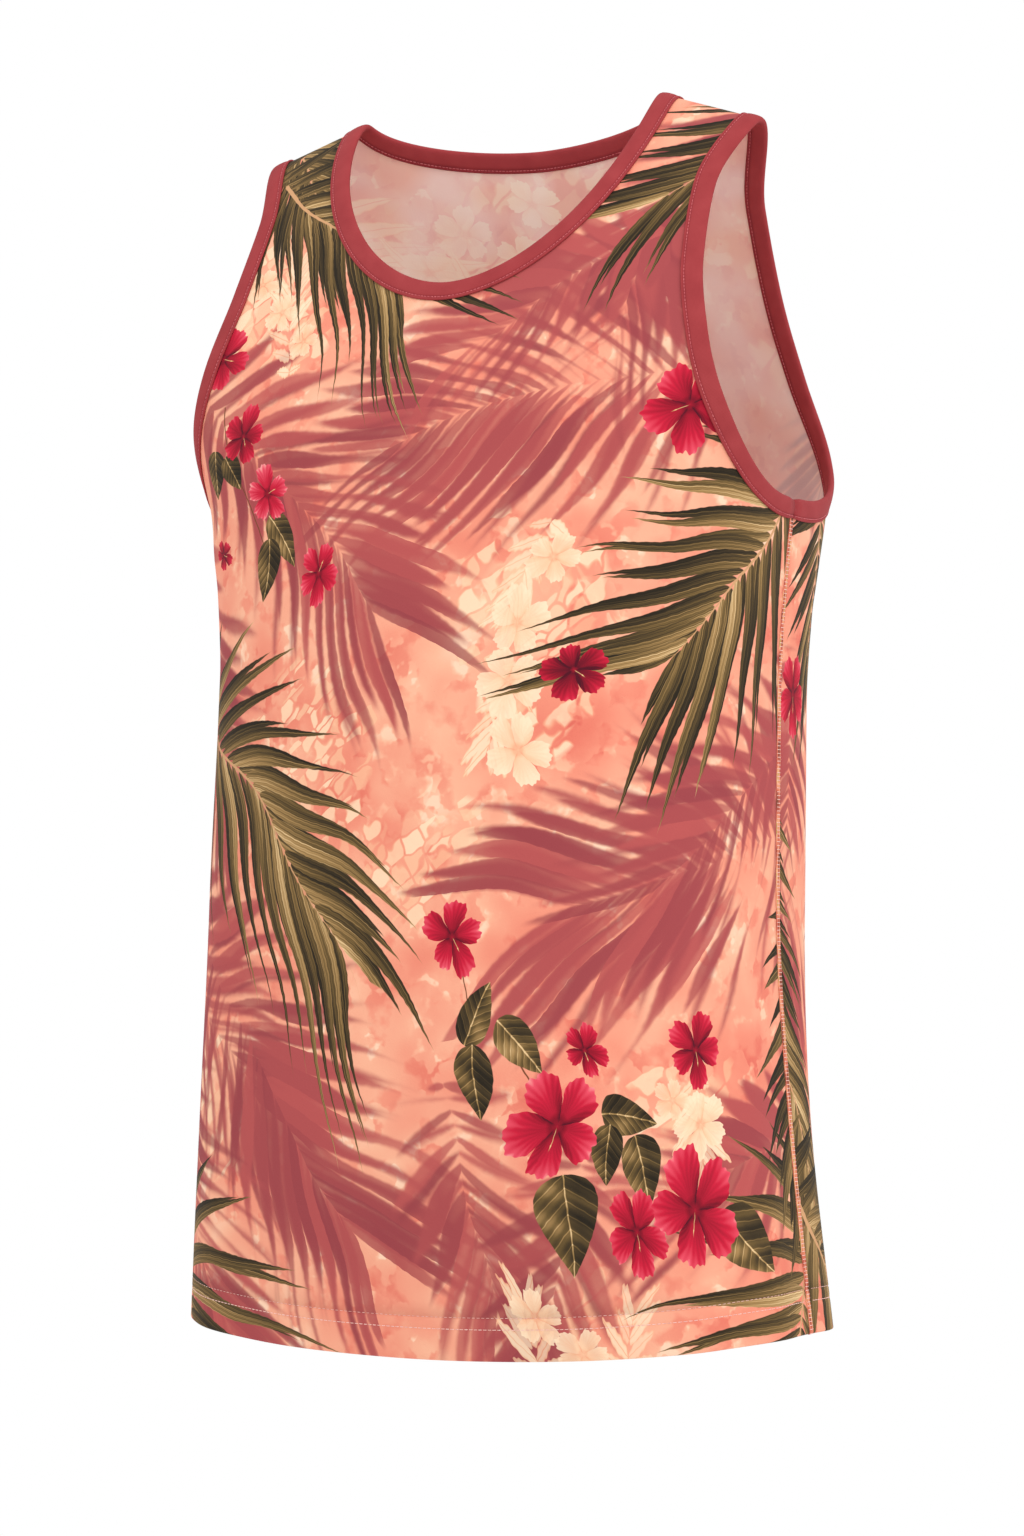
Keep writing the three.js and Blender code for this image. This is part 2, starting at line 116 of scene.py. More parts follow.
def fold_depth(angle, drop):
    depth = np.zeros_like(drop)
    for at, drift, start, end, spread, height in FOLDS:
        share = np.clip((drop - start) / (end - start), 0, None)
        fade = np.clip(share * 2, 0, 1)
        away = ((angle - at - drift * share + 180) % 360 - 180) / spread
        depth += height * fade * fade * (3 - 2 * fade) * np.exp(-away * away)
    return depth


def form_point(side, around, down, folded=True):
    """Points of the cloth's outer face, in millimetres. around is 0 at the middle and a quarter
    turn at a side seam; down is 0 on the shoulder ridge, and the drop grows with its square."""
    around = np.asarray(around, float)
    down = np.asarray(down, float)
    drop = np.zeros_like(around + down)
    for _ in range(SETTLING_ROUNDS):
        x = section["half_width"](drop) * np.sin(around)
        drop = ridge_drop(x) + SHOULDER_CURVE_HEIGHT * down * down
    power = section["squareness"](drop)
    reach = np.minimum(1, np.abs(np.sin(around)))
    crown = (1 - reach**power) ** (1 / power)
    bend = np.sqrt(1 - np.clip(1 - down * down, 0, None) ** SHOULDER_ROUNDNESS)
    depth = SEAM_GAP / 2 + section[side](drop) * crown * bend
    degrees = np.degrees(around)
    push = 1.0
    if folded:
        push = 1 + fold_depth(degrees if side == FRONT else 180 - degrees, drop) / FOLD_RADIUS
    return np.stack([x * push, section["middle"](drop) + side * depth * push, -drop], axis=-1)


def form_slopes(side, around, down):
    """The rates of change of the form along its two directions."""
    step = 1e-3
    left = np.maximum(-QUARTER, around - step)
    right = np.minimum(QUARTER, around + step)
    above = np.maximum(0, down - step)
    below = down + step
    across = form_point(side, right, down) - form_point(side, left, down)
    along = form_point(side, around, below) - form_point(side, around, above)
    return across / (right - left)[..., None], along / (below - above)[..., None]


def unit(vectors):
    return vectors / np.maximum(1e-9, np.linalg.norm(vectors, axis=-1, keepdims=True))


def form_normal(side, around, down):
    """The outward direction of the cloth. On the seams it lies in the plane of the seam."""
    around = np.asarray(around, float)
    across, along = form_slopes(side, around, down)
    normal = np.cross(along, across) * -side
    on_side = QUARTER - np.abs(around) < NEAR
    on_ridge = down < NEAR
    flat = np.zeros_like(normal)
    flat[..., 0] = np.sign(around)
    normal = np.where(on_side[..., None], flat, normal)
    flat[..., 0] = np.sign(around) * SHOULDER_SLOPE
    flat[..., 2] = 1
    return unit(np.where(on_ridge[..., None], flat, normal))


def down_at(x, drop):
    """How far down the form a drop is, in the form's own measure."""
    return np.sqrt(np.maximum(0, (drop - ridge_drop(x)) / SHOULDER_CURVE_HEIGHT))


def form_place(x, drop):
    """From x and drop to the form's own two directions, as (around, down)."""
    around = np.arcsin(np.clip(x / section["half_width"](drop), -1, 1))
    return np.stack([around, down_at(x, drop)], axis=-1)


# ---- The cut edges ---------------------------------------
# The neck is a round scoop, deep in front and shallow behind, and each armhole is cut in behind
# the shoulder. The pattern's edges are the free edges of the bindings that later clasp them.
CLOTH = 1.0
BINDING_WIDTH = 12
RAW_EDGE = 1.5
PANEL_BORDER = 12.5
HEM_DEPTH = 24
HEM_SIDE_RISE = 14
ARMHOLE_DROP = 231
NECK = {FRONT: (111, 1.86), BACK: (18, 1.7)}
ARMHOLE_SHARE = (0, 0.2, 0.4, 0.62, 0.84, 1)
UNDERARM = float(section["half_width"](ARMHOLE_DROP))
ARMHOLE = {
    FRONT: (SHOULDER_TIP, 144, 147, 157, 167.5, UNDERARM),
    BACK: (SHOULDER_TIP, 138, 135.5, 140, 154, UNDERARM),
}
ARMHOLE_STEPS = np.linspace(0, 1, len(ARMHOLE_SHARE))
armhole_share = smooth_table(ARMHOLE_STEPS, ARMHOLE_SHARE)
armhole_x = {side: smooth_table(ARMHOLE_STEPS, ARMHOLE[side]) for side in (FRONT, BACK)}
# The straps start at these shares of the neck's and the armhole's edges, counted from the middle
# and from the side seam, with so many columns below and so many rows along them.
DIVISIONS = {
    FRONT: {"neck": (0.46, 6), "armhole": (0.22, 5), "rows": 15},
    BACK: {"neck": (0.45, 5), "armhole": (0.52, 9), "rows": 10},
}
STRAP_COLUMNS = 7
BODY_ROWS = 21
TURN_WEIGHT = 38
FINE = 4
EDGE_SAMPLES = 241
INSET_ROUNDS = 8


def neck_edge(side, share):
    """The neck's free edge on one half, from the middle (0) to the neck point (1)."""
    drop, squareness = NECK[side]
    turn = np.minimum(share, 1) * QUARTER
    power = 2 / squareness
    return form_place(
        NECK_HALF_WIDTH * np.sin(turn) ** power,
        drop * np.maximum(0, np.cos(turn)) ** power * (share < 1),
    )


def armhole_edge(side, share):
    """The armhole's free edge on one half, from the side seam (0) to the shoulder tip (1)."""
    tip_drop = ridge_drop(SHOULDER_TIP)
    drop = tip_drop + (ARMHOLE_DROP - tip_drop) * armhole_share(1 - share)
    return form_place(armhole_x[side](1 - share), drop)


EDGES = {"neck": neck_edge, "armhole": armhole_edge}


def at_lengths(goals, lengths, line):
    """The points of a line at some lengths along it."""
    return np.stack([np.interp(goals, lengths, axis) for axis in line.T], axis=-1)


def stations(side, opening, start, end, count):
    """Places along an edge between two shares of it, closer together where it turns."""
    shares = np.linspace(start, end, EDGE_SAMPLES)
    places = EDGES[opening](side, shares)
    steps = np.diff(form_point(side, places[:, 0], places[:, 1]), axis=0)
    lengths = np.linalg.norm(steps, axis=1)
    heading = unit(steps)
    turns = np.arccos(np.clip(np.sum(heading[1:] * heading[:-1], axis=1), -1, 1))
    measure = np.concatenate([[0], np.cumsum(lengths + TURN_WEIGHT * np.concatenate([[0], turns]))])
    return at_lengths(np.linspace(0, measure[-1], count + 1), measure, places)


def inset(side, opening, edge, distance):
    """The places that lie a distance into the cloth from an edge's stations, square to it."""
    around, down = edge[:, 0], edge[:, 1]
    points = form_point(side, around, down)
    tangent = np.gradient(points, axis=0)
    across, along = form_slopes(side, around, down)
    outwards = 1 if opening == "neck" else -1
    into = unit(np.cross(form_normal(side, around, down), tangent))
    guide = unit(along) + outwards * unit(across)
    into *= np.sign(np.sum(into * guide, axis=1))[:, None]
    goal = points + into * distance
    on_ridge = down < NEAR
    on_line = (np.abs(around) < NEAR) | (QUARTER - np.abs(around) < NEAR)
    here = edge.copy()
    for _ in range(INSET_ROUNDS):
        a, b = form_slopes(side, here[:, 0], here[:, 1])
        miss = goal - form_point(side, here[:, 0], here[:, 1])
        aa, bb, ab = (np.sum(m * n, axis=1) for m, n in ((a, a), (b, b), (a, b)))
        ma, mb = np.sum(miss * a, axis=1), np.sum(miss * b, axis=1)
        size = aa * bb - ab * ab
        here[:, 0] += np.where(on_line, 0, np.where(on_ridge, ma / aa, (ma * bb - mb * ab) / size))
        here[:, 1] += np.where(on_ridge, 0, np.where(on_line, mb / bb, (mb * aa - ma * ab) / size))
        here[:, 0] = np.clip(here[:, 0], 0, QUARTER)
        here[:, 1] = np.maximum(0, here[:, 1])
    return here


def free_edge(side, opening):
    """The stations of a whole edge, with one of them at the corner where the strap starts."""
    corner, columns = DIVISIONS[side][opening]
    rows = DIVISIONS[side]["rows"]
    low = stations(side, opening, 0, corner, columns * FINE)
    high = stations(side, opening, corner, 1, rows * FINE)
    return np.concatenate([low, high[1:]])


def line_between(start, end, count):
    share = np.linspace(0, 1, count + 1)[:, None]
    return start * (1 - share) + end * share


def net_between(top, bottom, left, right):
    """A net of places between four edges. It bends with all four of them."""
    v = np.linspace(0, 1, len(left))[:, None, None]
    u = np.linspace(0, 1, len(top))[None, :, None]
    up_down = top[None] * (1 - v) + bottom[None] * v
    left_right = left[:, None] * (1 - u) + right[:, None] * u
    top_corners = top[0] * (1 - u) + top[-1] * u
    low_corners = bottom[0] * (1 - u) + bottom[-1] * u
    corners = top_corners * (1 - v) + low_corners * v
    return up_down + left_right - corners


def hem_line(around, rise):
    """The places on a level of the hem, rise above its edge."""
    drop = LENGTH - HEM_SIDE_RISE * np.sin(around) ** 2 - rise
    x = section["half_width"](drop) * np.sin(around)
    return np.stack([around, down_at(x, drop)], axis=-1)


# ---- The lay of the print --------------------------------
# The print is laid on the flat cut, so it needs each point's place on it: u across from the
# middle line and v down from the neck points, both in millimetres along the cloth.
AROUND_STEPS = np.linspace(0, QUARTER, 91)
PAST_HEM = 1.96
DOWN_STEPS = np.linspace(0, PAST_HEM, 99)
# Over the shoulder's curve the cloth is longer than it drops.
SHOULDER_EXTRA = 34
SHOULDER_EXTRA_DROP = 75


def cut_widths(side):
    around, down = np.meshgrid(AROUND_STEPS, DOWN_STEPS)
    steps = np.diff(form_point(side, around, down, folded=False), axis=1)
    widths = np.cumsum(np.linalg.norm(steps, axis=-1), axis=1)
    return np.concatenate([np.zeros((len(DOWN_STEPS), 1)), widths], axis=1)


CUT_WIDTHS = {side: cut_widths(side) for side in (FRONT, BACK)}


def cut_place(side, around, down):
    """Where points of the form lie on the flat cut. The wearer's left is +u on both panels."""
    table = CUT_WIDTHS[side]
    i = np.clip(np.abs(around) / AROUND_STEPS[1], 0, len(AROUND_STEPS) - 1.001)
    j = np.clip(down / DOWN_STEPS[1], 0, len(DOWN_STEPS) - 1.001)
    i0, j0 = i.astype(int), j.astype(int)
    s, t = i - i0, j - j0
    above = table[j0, i0] * (1 - s) + table[j0, i0 + 1] * s
    below = table[j0 + 1, i0] * (1 - s) + table[j0 + 1, i0 + 1] * s
    drop = -form_point(side, around, down)[..., 2]
    over_shoulder = SHOULDER_EXTRA * (1 - np.exp(-drop / SHOULDER_EXTRA_DROP))
    return np.sign(around) * (above * (1 - t) + below * t), drop + over_shoulder


# ---- Front and back --------------------------------------
# Each panel is one piece of printed jersey, cut with its two straps and turned up inside at the
# hem. The print is on the outside only, so the inside is paler. Two rows of stitches hold the hem.
HEM_STITCH_RISES = (24.0, 17.5)
HEM_ROUND = 1.1
HEM_INSIDE = 2 * HEM_ROUND
STITCH_DENT = 0.3
STITCH_DENT_WIDTH = 0.9
MERGE = 0.01 * MM
TILE_WIDTH = 76
TILE_HEIGHT = 94
TILE_COLUMNS = 7
TILE_ROWS = 8
TILE_MARGIN = 14
# Small creases that only the surface has, as lines on the flat cut. They end near the side seams.
CREASE_END = 0.12
CREASES = {
    # u and v of each end, spread, depth
    FRONT: (
        (205, 262, 120, 330, 9, 0.9), (214, 285, 150, 372, 7, -0.7), (-206, 264, -128, 322, 9, 0.8),
        (-212, 290, -150, 380, 8, -0.7), (150, 300, 60, 350, 12, 0.6), (-40, 560, -70, 700, 9, 0.8),
        (95, 590, 120, 705, 8, 0.7), (-150, 600, -135, 715, 7, 0.6),
    ),
    BACK: (
        (196, 262, 118, 338, 9, 1.0), (208, 292, 140, 385, 8, -0.8), (-198, 262, -120, 330, 9, 0.9),
        (-206, 296, -150, 392, 8, -0.7), (-80, 210, 70, 226, 12, 0.9),
        (-60, 250, 90, 262, 10, -0.6), (30, 520, 55, 700, 10, 0.9), (-110, 560, -90, 700, 9, 0.8),
    ),
}


def crease_height(side, u, v):
    height = np.zeros_like(u)
    for u0, v0, u1, v1, spread, depth in CREASES[side]:
        length = math.hypot(u1 - u0, v1 - v0)
        eu, ev = (u1 - u0) / length, (v1 - v0) / length
        along = ((u - u0) * eu + (v - v0) * ev) / length
        across = ((v - v0) * eu - (u - u0) * ev) / spread
        ends = np.sin(np.pi * np.clip(along, 0, 1))
        height += depth * ends * ends * np.exp(-across * across)
    return height


def new_sheet():
    bm = bmesh.new()
    bm.verts.layers.float.new("cut_u")
    bm.verts.layers.float.new("cut_v")
    return bm


def lay_grid(bm, points, u, v, outward):
    """A grid of cloth through rows of points, with its places on the cut, facing outward."""
    rows, columns = u.shape
    grid = bmesh.ops.create_grid(bm, x_segments=columns - 1, y_segments=rows - 1, size=1)["verts"]
    cut_u, cut_v = bm.verts.layers.float["cut_u"], bm.verts.layers.float["cut_v"]
    for vert, point, across, down in zip(grid, points.reshape(-1, 3) * MM, u.ravel(), v.ravel()):
        vert.co = point
        vert[cut_u] = across
        vert[cut_v] = down
    i, j = rows // 2, columns // 2
    normal = np.cross(points[i, j] - points[i, j - 1], points[i, j] - points[i - 1, j])
    if np.dot(normal, outward[i, j]) < 0:
        faces = {face for vert in grid for face in vert.link_faces}
        bmesh.ops.reverse_faces(bm, faces=list(faces))


def put_on(name, mesh):
    """Puts a smooth mesh on the garment as a piece of its own."""
    mesh.shade_smooth()
    piece = bpy.data.objects.new(name, mesh)
    bpy.context.scene.collection.objects.link(piece)
    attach(piece, "root")
    return piece


def make_piece(name, bm, materials):
    """Turns a modelled sheet into a piece, with its place on the cut as a UV map."""
    bmesh.ops.remove_doubles(bm, verts=bm.verts, dist=MERGE)
    mesh = bpy.data.meshes.new(name)
    bm.to_mesh(mesh)
    bm.free()
    corners = np.empty(len(mesh.loops), int)
    mesh.loops.foreach_get("vertex_index", corners)
    places = []
    for layer in ("cut_u", "cut_v"):
        values = np.empty(len(mesh.vertices), np.float32)
        mesh.attributes[layer].data.foreach_get("value", values)
        places.append(values[corners])
        mesh.attributes.remove(mesh.attributes[layer])
    cut = mesh.uv_layers.new(name="cut")
    cut.uv.foreach_set("vector", np.stack(places, axis=-1).ravel())
    for material in materials:
        mesh.materials.append(material)
    return put_on(name, mesh)


def cloth_points(side, places, inward=0.0):
    """The points of a net of places on one panel, sunk inward, with their places on the cut."""
    around, down = places[..., 0], places[..., 1]
    u, v = cut_place(side, around, down)
    near_seam = np.clip((QUARTER - np.abs(around)) / CREASE_END, 0, 1)
    lift = crease_height(side, u, v) * near_seam - inward
    normal = form_normal(side, around, down)
    return form_point(side, around, down) + normal * lift[..., None], u, v, normal


def arc_lengths(points):
    """How far along a line each of its points lies."""
    return np.concatenate([[0], np.cumsum(np.linalg.norm(np.diff(points, axis=0), axis=1))])


def hem_path():
    """The section of the hem: rise above its edge, depth inwards, and length along the cloth."""
    outside = [24, 23.3, 22.4, 20.8, 19.1, 18.2, 17.5, 16.8, 15.4, 12, 8, 4, HEM_ROUND]
    path = []
    for rise in outside:
        away = [(rise - row) / STITCH_DENT_WIDTH for row in HEM_STITCH_RISES]
        path.append((rise, STITCH_DENT * sum(math.exp(-(x**2)) for x in away)))
    for turn in np.linspace(0, math.pi, 7)[1:-1]:
        path.append((HEM_ROUND * (1 - math.sin(turn)), HEM_ROUND * (1 - math.cos(turn))))
    path += [(rise, HEM_INSIDE) for rise in (HEM_ROUND, 6, 12, 18, HEM_DEPTH)]
    path = np.array(path)
    return path[:, 0], path[:, 1], arc_lengths(path)


def panel_nets(side):
    """The nets of one half of a panel: strap, body and the two strips inside the bindings."""
    neck, armhole = free_edge(side, "neck"), free_edge(side, "armhole")
    neck_border = inset(side, "neck", neck, PANEL_BORDER)
    armhole_border = inset(side, "armhole", armhole, PANEL_BORDER)
    below_neck = DIVISIONS[side]["neck"][1] * FINE
    underarm = DIVISIONS[side]["armhole"][1] * FINE
    neck_side, armhole_side = neck_border[below_neck:], armhole_border[underarm:]
    split = line_between(neck_side[0], armhole_side[0], STRAP_COLUMNS * FINE)
    ridge = line_between(neck_side[-1], armhole_side[-1], STRAP_COLUMNS * FINE)
    strap = net_between(split, ridge, neck_side, armhole_side)
    top = np.concatenate([neck_border[:below_neck], split, armhole_border[:underarm][::-1]])
    hem = hem_line(np.linspace(0, QUARTER, len(top)), HEM_DEPTH)
    middle = line_between(top[0], hem[0], BODY_ROWS * FINE)
    side_seam = line_between(top[-1], hem[-1], BODY_ROWS * FINE)
    body = net_between(top, hem, middle, side_seam)
    strips = [
        np.stack([inset(side, opening, edge, depth) for depth in (RAW_EDGE, 6, 9.5, PANEL_BORDER)])
        for opening, edge in (("neck", neck), ("armhole", armhole))
    ]
    return [strap, body, *strips]


def tile_of(u, v):
    """Which tile of the print a place on the cut is in. The tiles are numbered in rows."""
    column = int(min(max(u / TILE_WIDTH + TILE_COLUMNS / 2, 0), TILE_COLUMNS - 1))
    row = int(min(max(v / TILE_HEIGHT, 0), TILE_ROWS - 1))
    return row * TILE_COLUMNS + column


def make_panel(name, side, materials):
    bm = new_sheet()
    nets = panel_nets(side)
    for net in nets:
        for mirrored in (1, -1):
            lay_grid(bm, *cloth_points(side, net * [mirrored, 1]))
    rises, depths, lengths = hem_path()
    hem_around = np.linspace(0, QUARTER, nets[1].shape[1])
    hem = np.stack([hem_line(hem_around, rise) for rise in rises])
    for mirrored in (1, -1):
        points, u, v, normal = cloth_points(side, hem * [mirrored, 1], depths[:, None])
        lay_grid(bm, points, u, v[:1] + lengths[:, None], normal)
    cut_u, cut_v = bm.verts.layers.float["cut_u"], bm.verts.layers.float["cut_v"]
    for face in bm.faces:
        corners = face.verts
        u, v = (sum(vert[layer] for vert in corners) / len(corners) for layer in (cut_u, cut_v))
        face.material_index = tile_of(u, v)
    piece = make_piece(name, bm, materials)
    wall = piece.modifiers.new("wall", "SOLIDIFY")
    wall.thickness = CLOTH * MM
    wall.offset = -1
    # Past the end of the list the offset stops at the last material, which is the inside's.
    wall.material_offset = len(materials)
    wall.material_offset_rim = len(materials)
    return piece


# The print is a tropical one: blurred shadows of palm fronds on a mottled coral ground, with crisp
# fronds, hibiscus flowers, leaves and pale foliage over them. Every motif is worked out by formula
# from its place on the cut, so the tables below only say where each one goes, in millimetres.


class Field:
    """A number that varies over the cloth. Arithmetic on it adds the nodes that work it out."""

    def __init__(self, socket):
        self.socket = socket

    def __add__(self, other):
        return calculate("ADD", self, other)

    def __sub__(self, other):
        return calculate("SUBTRACT", self, other)

    def __rsub__(self, other):
        return calculate("SUBTRACT", other, self)

    def __mul__(self, other):
        return calculate("MULTIPLY", self, other)

    def __truediv__(self, other):
        return calculate("DIVIDE", self, other)

    def __rtruediv__(self, other):
        return calculate("DIVIDE", other, self)

    def __pow__(self, other):
        return calculate("POWER", self, other)

    def __abs__(self):
        return calculate("ABSOLUTE", self)

    __radd__ = __add__
    __rmul__ = __mul__


def add_node(kind, *given, **settings):
    """A shader node whose first inputs are given: as fields, sockets, numbers or colours. None
    leaves an input as it is."""
    given = [term.socket if isinstance(term, Field) else term for term in given]
    tree = next(term.id_data for term in given if isinstance(term, bpy.types.NodeSocket))
    node = tree.nodes.new("ShaderNode" + kind)
    for name, value in settings.items():
        setattr(node, name, value)
    for socket, term in zip(node.inputs, given):
        if isinstance(term, bpy.types.NodeSocket):
            tree.links.new(term, socket)
        elif term is not None:
            socket.default_value = term
    return node


def calculate(operation, *terms, clamp=False):
    return Field(add_node("Math", *terms, operation=operation, use_clamp=clamp).outputs[0])


def clamped(field):
    return calculate("ADD", field, 0, clamp=True)


def root(field):
    return calculate("SQRT", field)


def sine(field):
    return calculate("SINE", field)


def least(field, other):
    return calculate("MINIMUM", field, other)


def soft_step(field):
    """Rises smoothly from 0 to 1 as the field does."""
    field = clamped(field)
    return field * field * (3 - 2 * field)


def parts_of(vector):
    return [Field(output) for output in add_node("SeparateXYZ", vector).outputs]


def randoms(field):
    """Three random numbers from 0 to 1 that stay the same while the field does."""
    return parts_of(add_node("TexWhiteNoise", None, field, noise_dimensions="1D").outputs["Color"])


def texture(kind, place, size, **settings):
    """A texture node laid on a place, with features about as large as the size."""
    node = add_node(kind, place, **settings)
    node.inputs["Scale"].default_value = 1 / size
    return node


def noise(place, size, detail=1.0):
    node = texture("TexNoise", place, size, noise_dimensions="2D")
    node.inputs["Detail"].default_value = detail
    return node


def paint(red, green, blue):
    """A colour as it looks, in parts of 255, turned into what a shader takes."""
    return tuple(((part / 255 + 0.055) / 1.055) ** 2.4 for part in (red, green, blue)) + (1,)


def tones(*stops):
    """The stops of a ramp: each a place from 0 to 1 and a colour in parts of 255."""
    return [(position, paint(*colour)) for position, *colour in stops]


def ramp(field, stops):
    """A colour that follows a field through the stops."""
    node = add_node("ValToRGB", field)
    points = node.color_ramp.elements
    points[0].position, points[1].position = stops[0][0], stops[-1][0]
    points[0].color, points[1].color = stops[0][1], stops[-1][1]
    for position, colour in stops[1:-1]:
        points.new(position).color = colour
    return node.outputs["Color"]


def blend(cover, under, over):
    """The colour under, covered by the other one. The node's inputs for numbers come first."""
    numbers = [None] * 5
    return add_node("Mix", cover, *numbers, under, over, data_type="RGBA").outputs[2]


FROND_FAN = 1.7
FROND_CURL = 0.0018
# The two sides of a frond and its two layers of leaflets have random numbers of their own.
SIDE_SEED = 40.5
LAYER_SEED = 9
OLIVE_TONES = tones(
    (0.0, 38, 31, 20), (0.22, 64, 51, 31), (0.46, 104, 82, 46), (0.72, 166, 131, 82),
    (1.0, 230, 196, 145),
)
SHADOW_TONES = tones((0.0, 184, 84, 82), (1.0, 148, 62, 68))
CREAM_TONES = tones((0.0, 238, 150, 116), (0.4, 246, 194, 154), (1.0, 251, 222, 188))
PETAL_TONES = tones(
    (0.0, 78, 8, 28), (0.28, 148, 14, 38), (0.56, 200, 26, 56), (0.82, 228, 76, 96),
    (1.0, 248, 156, 154),
)
STEM_BROWN = paint(116, 66, 40)
STAMEN_CREAM = paint(252, 214, 150)
RACHIS_TAN = paint(206, 156, 112)
# A motif m has the colour under it, the numbers that place it, and the place on the cloth: u and v
# on the cut, and along and across as seen from the motif. Its wash is a slow noise.


def leaflet(m, shift=0, tilt=0):
    """The leaflet of a frond that a place may be on: how far off its midrib the place is, how far
    out along it, the leaflet's greatest half width, and three random numbers of its own."""
    away = abs(m.across)
    bent = away + away * away * FROND_CURL
    fan = FROND_FAN / m.length
    spread = bent * fan + 1
    slant = m.slant + tilt
    start = (m.along - bent * slant) / spread
    cell = calculate("FLOOR", start / m.spacing + shift)
    centre = (cell + (0.5 - shift)) * m.spacing
    side = calculate("SIGN", m.across)
    chance = randoms(cell + side * SIDE_SEED + (m.seed + shift * LAYER_SEED))
    lean = centre * fan + slant
    stretch = root(lean * lean + 1)
    share = centre / m.length * 0.66 + 0.16
    room = least(share * (1 - share) * 4, (m.length - centre) * 0.12)
    size = root(calculate("MAXIMUM", room, 1e-8)) * m.reach * (chance[0] * 0.4 + 0.7)
    out = away * stretch / size
    off = ((start - centre) * spread - (chance[1] - 0.5) * away * 0.14) / stretch
    return off, out, m.width * (chance[2] * 0.4 + 0.8), chance


def draw_frond(m):
    colour = m.under
    for shift, lift, tilt in ((0.5, -0.12, 0.12), (0.0, 0.0, -0.06)):
        off, out, widest, chance = leaflet(m, shift, tilt)
        half = root(out) * clamped(1 - out) * (1.3 - out * 0.6) * 2.3 * widest
        rim = half - abs(off)
        lit = clamped(off / m.width * 2.4 + 0.5)
        streak = sine(off * 4.4 + chance[0] * 30) * sine(off * 1.9 + out * 7) * 0.14
        midrib = clamped(1 - abs(off) * 3.6) * 0.34
        edge = clamped(1 - rim * 2.2) * 0.2
        shade = lit * 0.2 + chance[1] * chance[2] * 0.5 + clamped(0.6 - out) * 0.5
        tone = shade + streak + midrib + edge + (m.gold + lift)
        colour = blend(clamped(rim * 3), colour, ramp(tone, OLIVE_TONES))
    stalk = least(1.5 - m.along / m.length * 1.2, m.along) - abs(m.across)
    return blend(clamped(stalk * 3), colour, RACHIS_TAN)


def draw_shadow(m):
    colour = m.under
    for shift, blur, size, tilt in ((0.5, 1.8, 0.7, -0.16), (0.0, 1.0, 1.0, 0.1)):
        off, out, widest, chance = leaflet(m, shift, tilt)
        half = (out * 2.6 + 0.3) * (1 - out) * (m.wash * 2.8 - 0.2) * widest * size
        edge = m.soft * blur * (out + 0.5)
        cover = soft_step((half - abs(off)) / edge + 0.5) * clamped(half * 0.7)
        depth = 0.78 + m.wash * 0.4 - abs(out - 0.4) * 0.3 - chance[0] * 0.14
        colour = blend(cover * depth, colour, ramp(chance[1], SHADOW_TONES))
    return colour


def draw_spray(m):
    off, out, widest, chance = leaflet(m)
    half = root(out) * (1 - out) * 2.6 * widest + sine(out * 30 + chance[1] * 9) * 0.3
    rim = half - abs(off)
    vein = clamped(abs(off) * 2.2)
    tone = clamped(rim * 0.7) * vein * 0.75 + chance[2] * 0.3
    cover = clamped(rim * 2.5) * clamped(half * 2) * (chance[0] * 0.35 + 0.55)
    return blend(cover, m.under, ramp(tone, CREAM_TONES))


def draw_petals(m):
    """A patch of small pale petals that fades out at its edge."""
    sway = sine(m.v * 0.42 + m.u * 0.16) * 2.4
    lean = sine(m.u * 0.47 - m.v * 0.13) * 3.2
    across, down = (m.u + m.v + sway) * 0.9 / m.cell, (m.u - m.v + lean) * 0.5 / m.cell
    place = add_node("CombineXYZ", across, down).outputs[0]
    cells, borders = (
        texture("TexVoronoi", place, 1, voronoi_dimensions="2D", feature=feature)
        for feature in ("F1", "DISTANCE_TO_EDGE")
    )
    du, dv = m.along / m.radius, m.across / m.radius
    chance = parts_of(cells.outputs["Color"])
    inside = clamped((chance[0] + m.wash - 0.2 - (du * du + dv * dv)) * 6)
    rim = clamped(Field(borders.outputs["Distance"]) * 9 - 0.3)
    tone = rim * (0.3 + chance[1] * 0.6)
    cover = inside * rim * clamped(chance[2] * 5 - 0.8)
    return blend(cover * (chance[1] * 0.4 + 0.5), m.under, ramp(tone, CREAM_TONES))


def draw_stem(m):
    inside = least(least(m.along, m.length - m.along), 0.55)
    return blend(clamped((inside - abs(m.across)) * 3), m.under, STEM_BROWN)


def draw_leaf(m):
    share = m.along / m.length
    away = abs(m.across)
    half = root(calculate("MAXIMUM", share, 0)) * (1 - share) * 2.6 * m.width
    vein = calculate("FRACT", (m.along - away * 0.9) / m.length * 7)
    veins = clamped(abs(vein - 0.5) * 22 - 9.4)
    midrib = clamped(1.5 - away * 2.6)
    patch = sine(m.along * 0.31 + m.across * 0.2 + m.gold * 40) * 0.12
    lit = clamped(m.across / m.width * 1.4 + 0.5)
    between = sine(vein * 6.28) * 0.07
    tone = lit * 0.3 + patch + between + m.gold + veins * 0.24 + midrib * 0.5 + 0.06
    return blend(clamped((half - away) * 3), m.under, ramp(tone, OLIVE_TONES))


